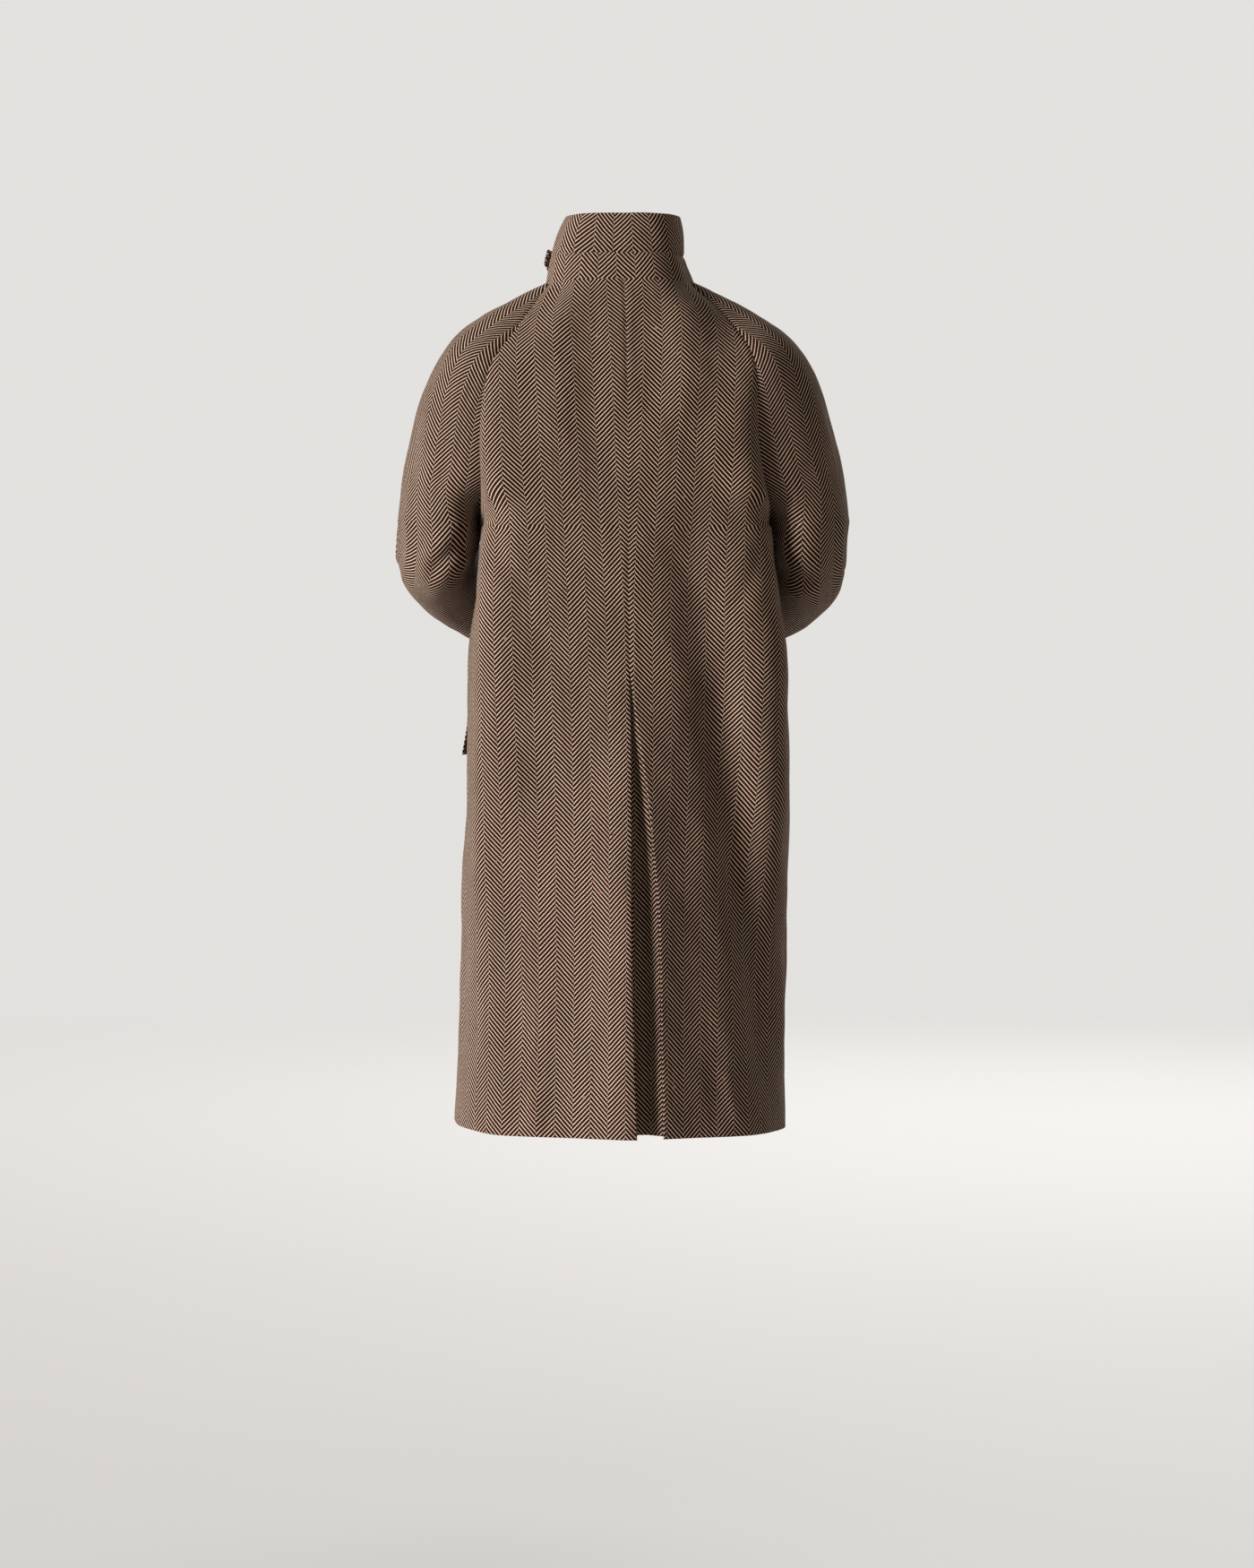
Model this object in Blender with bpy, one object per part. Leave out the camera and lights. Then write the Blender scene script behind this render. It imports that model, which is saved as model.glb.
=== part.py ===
"""Raglan coat in herringbone tweed, kept hollow in the form it has when worn."""

import math
from collections import namedtuple

import bmesh
import bpy
import numpy as np
from mathutils import Matrix, Vector

# Driving sizes in metres. The origin is the middle of the neck at the back neck seam.
# +Z is up, the front faces -Y and the wearer's left is +X. Drops are measured down.
CLOTH = 0.0025
COLLAR_CLOTH = 0.0035
SEAM_TRIM = 0.0003
LAID_GAP = 0.0005
UNDERARM_DROP = 0.335
HEM_DROP = 1.153
VENT_TOP = 0.53
FRONT_LAP = 0.045
LAP_TUCK = 0.030
UNDERLAP_REACH = 0.045
UNDERLAP_FALL = 0.010
ROUND_CENTRE = 0.68
ROUND_SPAN = 0.58
SLEEVE_FILL = {1: 0.03, -1: 0.0}
SLEEVE_LEAN = {1: 0.008, -1: 0.010}
HEM_TILT = 0.014
HEM_LIFT = 0.004
CENTRE_SWAY = 0.35

# Rows and columns of each panel
YOKE_ROWS = 12
BODY_ROWS = 14
ARM_ROWS = 12
BODY_COLUMNS = 10
SLEEVE_COLUMNS = 10
COLLAR_COLUMNS = 44
CURVE_POINTS = 97

# Centre lines of back and front
Centre = namedtuple("Centre", "drop back front")
CENTRES = (
    Centre(0.000, 0.080, -0.060),
    Centre(0.070, 0.106, -0.088),
    Centre(0.125, 0.122, -0.112),
    Centre(0.195, 0.135, -0.132),
    Centre(0.285, 0.145, -0.147),
    Centre(0.400, 0.151, -0.157),
    Centre(0.550, 0.159, -0.164),
    Centre(0.750, 0.166, -0.169),
    Centre(0.950, 0.171, -0.173),
    Centre(1.153, 0.176, -0.177),
)

# Half width of the body, depth of its widest line, how far its middle stands to the left and
# how square its corners are
Body = namedtuple("Body", "drop half_width side_y sway square")
BODY = (
    Body(0.000, 0.101, 0.000, 0.006, 0.66),
    Body(0.080, 0.150, 0.000, 0.002, 0.68),
    Body(0.200, 0.180, 0.000, 0.000, 0.82),
    Body(0.335, 0.1965, 0.000, 0.000, 0.88),
    Body(0.380, 0.1975, 0.000, 0.000, 0.86),
    Body(0.430, 0.2035, 0.000, -0.001, 0.84),
    Body(0.490, 0.215, 0.000, -0.004, 0.80),
    Body(0.600, 0.220, 0.000, -0.006, 0.73),
    Body(0.720, 0.222, 0.002, -0.006, 0.70),
    Body(0.800, 0.223, 0.004, -0.003, 0.70),
    Body(0.920, 0.223, 0.006, 0.000, 0.70),
    Body(1.040, 0.224, 0.006, 0.002, 0.70),
    Body(1.153, 0.227, 0.006, 0.005, 0.70),
)

# Shoulder rings from neck (along 0) to underarm (along 1). Over is the top of the ring, seam
# the middle between its two raglan seams, skew how the front seam differs from the back one,
# turn how many degrees the ring goes past half round, lean how far both seams stand to the left.
Yoke = namedtuple(
    "Yoke",
    "along over_x over_drop seam_x seam_drop skew_x skew_drop depth turn lean back_drop front_drop",
)
YOKE = (
    Yoke(0.00, 0.101, 0.000, 0.0975, 0.006, -0.004, 0.009, 0.0310, -40, 0.000, 0.000, 0.070),
    Yoke(0.15, 0.146, 0.023, 0.1215, 0.0440, -0.012, 0.018, 0.0620, -33, -0.004, 0.035, 0.093),
    Yoke(0.30, 0.195, 0.050, 0.1465, 0.084, -0.017, 0.023, 0.0875, -24, -0.004, 0.078, 0.125),
    Yoke(0.50, 0.245, 0.096, 0.1715, 0.1325, -0.017, 0.021, 0.1036, -6, 0.004, 0.132, 0.168),
    Yoke(0.65, 0.274, 0.152, 0.181, 0.180, -0.010, 0.016, 0.1020, -1, 0.009, 0.185, 0.207),
    Yoke(0.80, 0.292, 0.215, 0.188, 0.235, -0.002, 0.010, 0.0985, 6, 0.009, 0.238, 0.250),
    Yoke(0.90, 0.302, 0.262, 0.192, 0.280, 0.001, 0.004, 0.0990, 20, 0.005, 0.282, 0.288),
    Yoke(1.00, 0.310, 0.325, 0.1965, 0.335, 0.000, 0.000, 0.0970, 90, 0.000, 0.335, 0.335),
)

# Back and front lines of the sleeve below the underarm, with the half width of its ring
Arm = namedtuple("Arm", "along back_x back_y back_drop front_x front_y front_drop half_width")
ARM = (
    Arm(0.00, 0.2500, 0.097, 0.330, 0.2580, -0.097, 0.330, 0.0568),
    Arm(0.12, 0.2465, 0.089, 0.366, 0.2660, -0.106, 0.3335, 0.0540),
    Arm(0.25, 0.2455, 0.067, 0.402, 0.2695, -0.115, 0.334, 0.0530),
    Arm(0.38, 0.2475, 0.026, 0.430, 0.2655, -0.123, 0.335, 0.0528),
    Arm(0.50, 0.2480, -0.028, 0.448, 0.2550, -0.132, 0.337, 0.0528),
    Arm(0.62, 0.2435, -0.080, 0.462, 0.2415, -0.146, 0.341, 0.052),
    Arm(0.80, 0.2125, -0.158, 0.486, 0.211, -0.202, 0.363, 0.052),
    Arm(1.00, 0.160, -0.2375, 0.5105, 0.158, -0.2785, 0.3935, 0.053),
)

# How far each arm is held up at the cuff, left then right
ARM_RAISE = {1: 0.010, -1: -0.004}

# Centre vent: where the upper edge and the under fold stand across the back, and its depth
Vent = namedtuple("Vent", "drop edge ridge depth")
VENT = (
    Vent(0.53, 0.000, 0.0000, 0.004),
    Vent(0.60, -0.001, -0.0080, 0.008),
    Vent(0.70, -0.001, -0.0230, 0.016),
    Vent(0.82, -0.002, -0.0380, 0.022),
    Vent(0.94, -0.004, -0.0445, 0.025),
    Vent(1.04, -0.007, -0.0470, 0.026),
    Vent(1.153, -0.012, -0.0505, 0.027),
)

# Soft folds. Across is measured along the cloth from the centre line to the wearer's left.
Fold = namedtuple("Fold", "across drop lean reach width depth")
BACK_FOLDS = (
    Fold(0.000, 1.02, -0.015, 0.40, 0.070, 0.022),
    Fold(0.004, 0.95, -0.020, 0.34, 0.030, 0.012),
    Fold(0.165, 0.88, -0.080, 0.24, 0.024, -0.004),
    Fold(0.200, 0.98, -0.060, 0.24, 0.030, 0.004),
    Fold(-0.150, 0.74, -0.190, 0.38, 0.039, -0.017),
    Fold(-0.196, 0.53, -0.020, 0.27, 0.044, 0.024),
    Fold(0.190, 0.57, 0.020, 0.28, 0.044, 0.024),
    Fold(-0.105, 0.33, -0.050, 0.16, 0.035, -0.004),
)
FRONT_FOLDS = (
    Fold(0.120, 0.95, 0.16, 0.26, 0.035, -0.010),
    Fold(-0.125, 0.92, -0.18, 0.26, 0.035, -0.010),
    Fold(0.190, 1.02, 0.10, 0.22, 0.035, 0.008),
    Fold(-0.190, 1.04, -0.10, 0.22, 0.035, 0.008),
    Fold(0.130, 0.40, -0.05, 0.20, 0.040, -0.004),
    Fold(-0.130, 0.42, 0.05, 0.20, 0.040, -0.004),
)

# Collar rings above the neck seam: half widths and depths of the stand's top and the fall's top
Collar = namedtuple("Collar", "level left right back front rise_back rise_front")
COLLAR = (
    Collar(1, 0.095, 0.088, 0.074, 0.082, 0.036, 0.038),
    Collar(2, 0.073, 0.083, 0.063, 0.076, 0.091, 0.112),
)
COLLAR_END = 0.003
FALL_END_LOW = 0.006
FALL_END_HIGH = 0.030
FALL_BOW = 0.003

# Throat tab, measured round the collar from its left front end
TAB_START = 0.022
TAB_LENGTH = 0.138
TAB_HALF_HEIGHT = 0.018
TAB_END_HALF_HEIGHT = 0.010
TAB_LIFT = 0.007

# Hip pocket flaps, measured across from the front centre line
FLAP_TOP_DROP = 0.588
FLAP_HEIGHT = 0.058
FLAP_SEAT = 0.0012
FLAP_INNER = 0.112
FLAP_OUTER = 0.278
FLAP_FLARES = {1: 0.0065, -1: 0.002}

# Turned buttons
Turned = namedtuple("Turned", "radius height")
BUTTON = (
    Turned(0.72, 0.00),
    Turned(0.94, 0.20),
    Turned(1.00, 0.55),
    Turned(0.93, 0.95),
    Turned(0.74, 1.00),
    Turned(0.66, 0.78),
)
BUTTON_RADIUS = 0.0140
BUTTON_HEIGHT = 0.0050
BUTTON_SIDES = 20
BUTTON_DROPS = (0.125, 0.265, 0.405, 0.545)
TAB_BUTTON_RADIUS = 0.0110
TAB_BUTTON_PLACE = 0.080

TWEED = (0.300, 0.220, 0.165, 1.0)
HORN = (0.060, 0.032, 0.018, 1.0)

Ring = namedtuple("Ring", "points lengths marks")


def row_at(table, at):
    """A table's row at one place, on smooth curves through its columns."""
    rows = np.array(table, dtype=float)
    places = rows[:, 0]
    step = np.diff(places)[:, None]
    slope = np.diff(rows, axis=0) / step
    inner = (slope[1:] * step[:-1] + slope[:-1] * step[1:]) / (step[1:] + step[:-1])
    tangent = np.vstack([slope[:1], inner, slope[-1:]])
    i = int(np.clip(np.searchsorted(places, at) - 1, 0, len(places) - 2))
    width = step[i, 0]
    t = (min(max(at, places[0]), places[-1]) - places[i]) / width
    value = (
        rows[i] * (2 * t**3 - 3 * t**2 + 1)
        + rows[i + 1] * (3 * t**2 - 2 * t**3)
        + tangent[i] * width * (t**3 - 2 * t**2 + t)
        + tangent[i + 1] * width * (t**3 - t**2)
    )
    return type(table[0])(*value)


def ease(low, high, value):
    """Soft step from 0 at low to 1 at high."""
    t = np.clip((value - low) / (high - low), 0, 1)
    return t * t * (3 - 2 * t)


def unit(vectors):
    """Vectors of length one."""
    return vectors / np.maximum(np.linalg.norm(vectors, axis=-1, keepdims=True), 1e-12)


def lengths_of(points):
    """Length along a line of points up to each point."""
    return np.concatenate([[0], np.cumsum(np.linalg.norm(np.diff(points, axis=0), axis=1))])


def arm_section(phi, turn, reach, outward, share, hand):
    """Points round the arm about its middle, the inner hind side filled out towards the body."""
    inner = np.where(phi < 0, np.sin(math.pi * phi / turn) ** 2, 0)
    hind = np.where(phi < 0, np.cos(math.pi / 2 * phi / turn) ** 4, np.cos(np.minimum(phi, math.pi / 2)) ** 2)
    fill = 1 + SLEEVE_FILL[hand] * share * inner
    lean = SLEEVE_LEAN[hand] * share * hind * unit(outward)
    return fill * (outward * np.sin(phi) - reach * np.cos(phi)) - lean


def shoulder_ring(along, hand):
    """Sleeve part of a shoulder ring from the back raglan seam over the arm to the front one."""
    row = row_at(YOKE, along)
    turn = math.radians(row.turn)
    narrow = max(math.cos(turn), 0.25)
    over = np.array([row.over_x, 0, -row.over_drop])
    seam = np.array([row.seam_x + hand * row.lean, 0, -row.seam_drop])
    reach = np.array([row.skew_x / 2 / narrow, -row.depth, -row.skew_drop / 2 / narrow])
    rise = (over - seam) / (1 + math.sin(turn))
    middle = seam + rise * math.sin(turn)
    phi = np.linspace(-turn, math.pi + turn, 2 * CURVE_POINTS - 1)[:, None]
    points = middle + arm_section(phi, turn, reach, rise, math.sin(turn) ** 2, hand)
    points[:, 0] = hand * points[:, 0] + row_at(BODY, row.seam_drop).sway
    return points


def half_row(centre, side, arriving, square):
    """Curve from a centre line to a seam, level at the centre and arriving in a given direction."""
    span = np.linalg.norm(side - centre)
    depth = abs(centre[1] - side[1]) / max(abs(arriving[1]), 0.05)
    first = centre + np.array([ROUND_CENTRE * (side[0] - centre[0]), 0, 0])
    last = side - min(square * depth, ROUND_SPAN * span) * arriving
    last[2] = side[2] + 0.3 * (centre[2] - side[2])
    t = np.linspace(0, 1, CURVE_POINTS)[:, None]
    return (
        (1 - t) ** 3 * centre
        + 3 * (1 - t) ** 2 * t * first
        + 3 * (1 - t) * t**2 * last
        + t**3 * side
    )


def folded(points, folds, leftward):
    """A row of the body moved in and out by its folds."""
    lengths = lengths_of(points)
    across = (lengths - lengths[CURVE_POINTS - 1]) * leftward
    tangent = unit(np.gradient(points, axis=0))
    outward = unit(np.cross(tangent, (0, 0, -1)))
    shift = np.zeros(len(points))
    for fold in folds:
        drop = -points[:, 2] - fold.drop
        place = (across - fold.across - fold.lean * drop) / fold.width
        shift += fold.depth * np.exp(-(place**2)) * np.exp(-((drop / fold.reach) ** 4))
    edge = np.minimum(lengths, lengths[-1] - lengths)
    return points + outward * (shift * ease(0.0, 0.05, edge))[:, None]


def body_rows(back_centre, front_centre, sides, square):
    """Back row from right to left and front row from left to right, with their folds."""
    back = {hand: half_row(back_centre, *sides[hand, "back"], square) for hand in (1, -1)}
    front = {hand: half_row(front_centre, *sides[hand, "front"], square) for hand in (1, -1)}
    back_row = np.vstack([back[-1][::-1], back[1][1:]])
    front_row = np.vstack([front[1][::-1], front[-1][1:]])
    return folded(back_row, BACK_FOLDS, 1), folded(front_row, FRONT_FOLDS, -1)


def closed_ring(**parts):
    """Lines of points joined end to end, with the lengths at which each starts and ends."""
    points = []
    marks = {}
    for name, line in parts.items():
        start = len(points)
        points.extend(line if not points else line[1:])
        marks[name] = (max(start - 1, 0), len(points) - 1)
    points = np.array(points)
    lengths = lengths_of(points)
    return Ring(points, lengths, {name: lengths[list(ends)] for name, ends in marks.items()})


def yoke_ring(along):
    """Whole ring round the shoulders."""
    row = row_at(YOKE, along)
    sleeves = {hand: shoulder_ring(along, hand) for hand in (1, -1)}
    settle = ease(0.3, 0.85, along)
    sides = {}
    for hand, sleeve in sleeves.items():
        for face, end, near, depth in (("back", 0, 1, -1), ("front", -1, -2, 1)):
            into = unit((sleeve[near] - sleeve[end]) * (1, 1, 0))
            arriving = unit((1 - settle) * into + settle * np.array([0, depth, 0]))
            sides[hand, face] = (sleeve[end], arriving)
    body = row_at(BODY, row.seam_drop)
    back_y = row_at(CENTRES, row.back_drop).back
    front_y = row_at(CENTRES, row.front_drop).front
    back, front = body_rows(
        np.array([CENTRE_SWAY * body.sway, back_y, -row.back_drop]),
        np.array([body.sway, front_y, -row.front_drop]),
        sides,
        body.square,
    )
    return closed_ring(back=back, left=sleeves[1], front=front, right=sleeves[-1][::-1])


def body_ring(drop):
    """Ring round the body below the underarms."""
    row = row_at(BODY, drop)
    centre = row_at(CENTRES, drop)
    sides = {}
    for hand in (1, -1):
        point = np.array([row.sway + hand * row.half_width, row.side_y, -drop])
        sides[hand, "back"] = (point, np.array([0, -1, 0]))
        sides[hand, "front"] = (point, np.array([0, 1, 0]))
    back, front = body_rows(
        np.array([CENTRE_SWAY * row.sway, centre.back, -drop]),
        np.array([row.sway, centre.front, -drop]),
        sides,
        row.square,
    )
    ring = closed_ring(back=back, front=front)
    lift = HEM_TILT * np.minimum(ring.points[:, 0], 0) + HEM_LIFT * ease(0.17, 0.23, ring.points[:, 0])
    ring.points[:, 2] += lift * ease(0.7, HEM_DROP, drop)
    return ring


def arm_lines(along):
    """Back and front points of the sleeve's ring and its half width."""
    row = row_at(ARM, along)
    back = np.array([row.back_x, row.back_y, -row.back_drop])
    front = np.array([row.front_x, row.front_y, -row.front_drop])
    return back, front, row.half_width


def arm_rings(hand, count):
    """Rings of the sleeve below the underarm, each set across the arm's way."""
    sway = row_at(BODY, UNDERARM_DROP).sway
    rings = []
    for along in np.linspace(0, 1, count + 1)[1:]:
        back, front, half_width = arm_lines(along)
        middle = (back + front) / 2
        way = middle - sum(arm_lines(along - 0.02)[:2]) / 2
        reach = (front - back) / 2
        outward = unit(np.cross(reach, way))
        middle[2] += ARM_RAISE[hand] * ease(0.1, 0.6, along)
        phi = np.linspace(-math.pi / 2, math.pi * 1.5, 2 * CURVE_POINTS - 1)[:, None]
        share = 1 - ease(0.02, 0.32, along)
        points = middle + arm_section(phi, math.pi / 2, reach, outward * half_width, share, hand)
        points[:, 0] = hand * points[:, 0] + sway
        rings.append(closed_ring(sleeve=points if hand > 0 else points[::-1]))
    return rings


def middle_of(ring, name):
    """Length at the middle point of a part: a centre line or the top of the arm."""
    start, end = np.searchsorted(ring.lengths, ring.marks[name] - 1e-9)
    return ring.lengths[(start + end) // 2]


def read_ring(ring, at):
    """Points on a ring, which is closed, at given lengths."""
    at = np.mod(at, ring.lengths[-1])
    return np.stack([np.interp(at, ring.lengths, ring.points[:, k]) for k in range(3)], axis=-1)


def ring_tangent(ring, at, start, end):
    """Direction along a ring, taken across a seam where the cloth runs on smoothly."""
    near = 0.004
    here = read_ring(ring, at)
    ahead = unit(read_ring(ring, at + near) - here)
    behind = unit(here - read_ring(ring, at - near))
    own = np.where(((at - start) < (end - at))[:, None], ahead, behind)
    smooth = ease(0.2, 0.7, np.sum(ahead * behind, axis=1))[:, None]
    return unit(smooth * (ahead + behind) / 2 + (1 - smooth) * own)


def panel(rows, columns):
    """Grid of points on a panel and its outward normals, from rows of (ring, start, end)."""
    points = []
    tangents = []
    for ring, start, end in rows:
        at = np.linspace(start, end, columns)
        points.append(read_ring(ring, at))
        tangents.append(ring_tangent(ring, at, start, end))
    points = np.array(points)
    return points, unit(np.cross(np.array(tangents), np.gradient(points, axis=0)))


def vent_at(drop):
    """Vent row, shut above the top of the vent."""
    return row_at(VENT, max(drop, VENT_TOP))


def yoke_places():
    """Places of the shoulder rows, closer together towards the underarm."""
    return 1 - (1 - np.linspace(0, 1, YOKE_ROWS)) ** 1.15


def body_places():
    """Drops of the rows below the underarm."""
    return np.linspace(UNDERARM_DROP, HEM_DROP, BODY_ROWS + 1)[1:]


def body_panels(rings):
    """Back and front panels as grids of points and normals."""
    rows = {"back_left": [], "back_right": [], "front_left": [], "front_right": []}
    for ring, drop in rings:
        vent = vent_at(drop)
        back = middle_of(ring, "back")
        front = middle_of(ring, "front")
        back_start, back_end = ring.marks["back"]
        front_start, front_end = ring.marks["front"]
        rows["back_left"].append((ring, back + vent.edge + SEAM_TRIM, back_end - SEAM_TRIM))
        rows["back_right"].append((ring, back_start + SEAM_TRIM, back + vent.ridge - SEAM_TRIM))
        rows["front_left"].append((ring, front_start + SEAM_TRIM, front + FRONT_LAP))
        rows["front_right"].append((ring, front - LAP_TUCK, front_end - SEAM_TRIM))
    grids = {name: panel(spans, BODY_COLUMNS) for name, spans in rows.items()}
    grids["front_right"] = tucked_front(rows["front_right"], BODY_COLUMNS + 4)
    return grids


def tucked_front(spans, columns):
    """Right front, which passes under the left one."""
    points, normals = panel(spans, columns)
    for i, (ring, start, end) in enumerate(spans):
        past = np.linspace(start, end, columns) - start - LAP_TUCK - FRONT_LAP
        depth = (CLOTH + 2 * LAID_GAP) * (1 - ease(0.004, 0.030, past))
        points[i] -= normals[i] * depth[:, None]
    return points, normals


def underlap_grid():
    """Strip that runs on from the right back panel at the vent and laps under the left one."""
    spans = []
    depths = []
    seat = CLOTH + LAID_GAP
    for drop in np.linspace(VENT_TOP, HEM_DROP - 0.004, BODY_ROWS):
        vent = vent_at(drop)
        ring = body_ring(drop)
        back = middle_of(ring, "back")
        start = vent.ridge + SEAM_TRIM
        end = vent.edge + UNDERLAP_REACH
        spans.append((ring, back + start, back + end))
        across = np.linspace(start, end, BODY_COLUMNS)
        shut = 1 - ease(0, 0.012, vent.edge - vent.ridge)
        sink = ease(vent.ridge, min(vent.ridge + UNDERLAP_FALL, vent.edge + 0.001), across)
        rest = 1 - 0.3 * ease(vent.edge, end, across)
        first = seat * shut
        depths.append(np.maximum(first + (vent.depth - first) * sink * rest, seat * (across > vent.edge)))
    points, normals = panel(spans, BODY_COLUMNS)
    return points - normals * np.array(depths)[:, :, None], normals


def sleeve_panels(rings, hand):
    """Two halves of a sleeve as grids of points and normals."""
    name = "left" if hand > 0 else "right"
    first = []
    second = []
    for ring, _ in rings:
        start, end = ring.marks[name]
        over = middle_of(ring, name)
        first.append((ring, start + SEAM_TRIM, over - SEAM_TRIM))
        second.append((ring, over + SEAM_TRIM, end - SEAM_TRIM))
    for ring in arm_rings(hand, ARM_ROWS):
        start, end = ring.marks["sleeve"]
        over = middle_of(ring, "sleeve")
        first.append((ring, start + SEAM_TRIM, over - SEAM_TRIM))
        second.append((ring, over + SEAM_TRIM, end - SEAM_TRIM))
    back, front = (first, second) if hand > 0 else (second, first)
    return {
        f"sleeve_{name}_back": panel(back, SLEEVE_COLUMNS),
        f"sleeve_{name}_front": panel(front, SLEEVE_COLUMNS),
    }


def collar_points(neck, around, level):
    """Points on the collar; around is the length from the right front end along the neck seam."""
    base = read_ring(neck, middle_of(neck, "front") + around)
    middle = np.array([row_at(BODY, 0).sway, 0])
    angle = np.arctan2(base[:, 0] - middle[0], base[:, 1] - middle[1])
    forward = np.maximum(-np.cos(angle), 0) ** 1.5
    rings = [base]
    for row in COLLAR:
        wide = np.where(np.sin(angle) > 0, row.left, row.right) / YOKE[0].over_x
        deep = np.where(np.cos(angle) > 0, row.back / CENTRES[0].back, row.front / -CENTRES[1].front)
        ring = base.copy()
        ring[:, 0] = middle[0] + wide * (base[:, 0] - middle[0])
        ring[:, 1] = middle[1] + deep * (base[:, 1] - middle[1])
        ring[:, 2] = row.rise_back + (row.rise_front - YOKE[0].front_drop - row.rise_back) * forward
        rings.append(ring)
    level = np.broadcast_to(level, around.shape)
    lower = np.minimum(level.astype(int), 1)
    part = (level - lower)[:, None]
    stack = np.array(rings)
    pick = np.arange(len(around))
    bow = np.where(lower == 1, FALL_BOW * np.sin(math.pi * part[:, 0]), 0)
    outward = np.stack([np.sin(angle), np.cos(angle), 0 * angle], axis=-1)
    flat = stack[lower, pick] * (1 - part) + stack[lower + 1, pick] * part
    return flat + outward * bow[:, None]


def grid_normals(points):
    """Outward normals of a grid from its own points."""
    return unit(np.cross(np.gradient(points, axis=1), np.gradient(points, axis=0)))


def collar_grids(neck):
    """Stand and fall of the collar, from top to bottom."""
    whole = neck.lengths[-1]
    grids = {}
    for name, low, high, end_low, end_high, rows in (
        ("collar_stand", 0.022, 0.992, COLLAR_END, COLLAR_END, 4),
        ("collar_fall", 1.004, 2.0, FALL_END_LOW, FALL_END_HIGH, 6),
    ):
        lines = []
        for part in np.linspace(1, 0, rows):
            end = end_low + (end_high - end_low) * part
            around = np.linspace(end, whole - end, COLLAR_COLUMNS)
            lines.append(collar_points(neck, around, low + (high - low) * part))
        points = np.array(lines)
        grids[name] = (points, grid_normals(points))
    return grids


def tab_grid(neck):
    """Tab across the collar seam, its hind end standing off."""
    whole = neck.lengths[-1]
    lines = []
    stand = COLLAR[0].rise_back
    fall = COLLAR[1].rise_back - stand
    along = np.linspace(TAB_START + TAB_LENGTH, TAB_START, 16)
    tip = ease(TAB_START + TAB_LENGTH - 0.030, TAB_START + TAB_LENGTH, along)
    half = TAB_HALF_HEIGHT + (TAB_END_HALF_HEIGHT - TAB_HALF_HEIGHT) * tip
    for part in np.linspace(1, -1, 5):
        offset = part * half
        level = 1 + np.where(offset > 0, offset / fall, offset / stand)
        lines.append(collar_points(neck, whole - along, level))
    points = np.array(lines)
    normals = grid_normals(points)
    lift = LAID_GAP + CLOTH + TAB_LIFT * ease(
        TAB_START + TAB_LENGTH - 0.045, TAB_START + TAB_LENGTH, along
    )
    points = points + normals * lift[None, :, None]
    return points, grid_normals(points)


def flap_grid(hand):
    """Pocket flap laid on a front panel, standing off towards its lower hind corner."""
    spans = []
    for drop in np.linspace(FLAP_TOP_DROP, FLAP_TOP_DROP + FLAP_HEIGHT, 6):
        ring = body_ring(drop)
        front = middle_of(ring, "front")
        ends = sorted((front - hand * FLAP_INNER, front - hand * FLAP_OUTER))
        spans.append((ring, *ends))
    points, normals = panel(spans, 10)
    down = np.linspace(0, 1, 6)[:, None]
    hind = np.linspace(1, 0, 10)[None, :] if hand > 0 else np.linspace(0, 1, 10)[None, :]
    lift = FLAP_SEAT + CLOTH + FLAP_FLARES[hand] * ease(0.1, 1.3, down) * (0.25 + 1.35 * hind**3)
    return points + normals * lift[:, :, None], normals


def material(name, colour, roughness):
    """Plain material for one sub-part."""
    made = bpy.data.materials.new(name)
    made.use_nodes = True
    shader = made.node_tree.nodes["Principled BSDF"]
    shader.inputs["Base Color"].default_value = colour
    shader.inputs["Roughness"].default_value = roughness
    return made


def add_object(name, mesh, colour, roughness):
    """One sub-part with its own material."""
    mesh.materials.append(material(name, colour, roughness))
    made = bpy.data.objects.new(name, mesh)
    bpy.context.scene.collection.objects.link(made)
    return made


def shell(name, grid, wall):
    """Closed wall of cloth: a grid of outer points, the same points moved in, and a rim."""
    points, normals = grid
    rows, columns = points.shape[:2]
    outer = points.reshape(-1, 3)
    inner = (points - normals * wall).reshape(-1, 3)
    count = rows * columns
    faces = []
    for r in range(rows - 1):
        for c in range(columns - 1):
            a = r * columns + c
            b = a + 1
            d = a + columns
            e = d + 1
            faces.append((a, b, e, d))
            faces.append((count + a, count + d, count + e, count + b))
    edge = list(range(columns))
    edge += [r * columns + columns - 1 for r in range(1, rows)]
    edge += [(rows - 1) * columns + c for c in range(columns - 2, -1, -1)]
    edge += [r * columns for r in range(rows - 2, 0, -1)]
    for here, following in zip(edge, edge[1:] + edge[:1]):
        if here < following:
            faces.append((here, count + here, count + following))
            faces.append((here, count + following, following))
        else:
            faces.append((here, count + here, following))
            faces.append((count + here, count + following, following))
    mesh = bpy.data.meshes.new(name)
    mesh.from_pydata(np.vstack([outer, inner]).tolist(), [], faces)
    mesh.update()
    return add_object(name, mesh, TWEED, 0.9)


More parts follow.
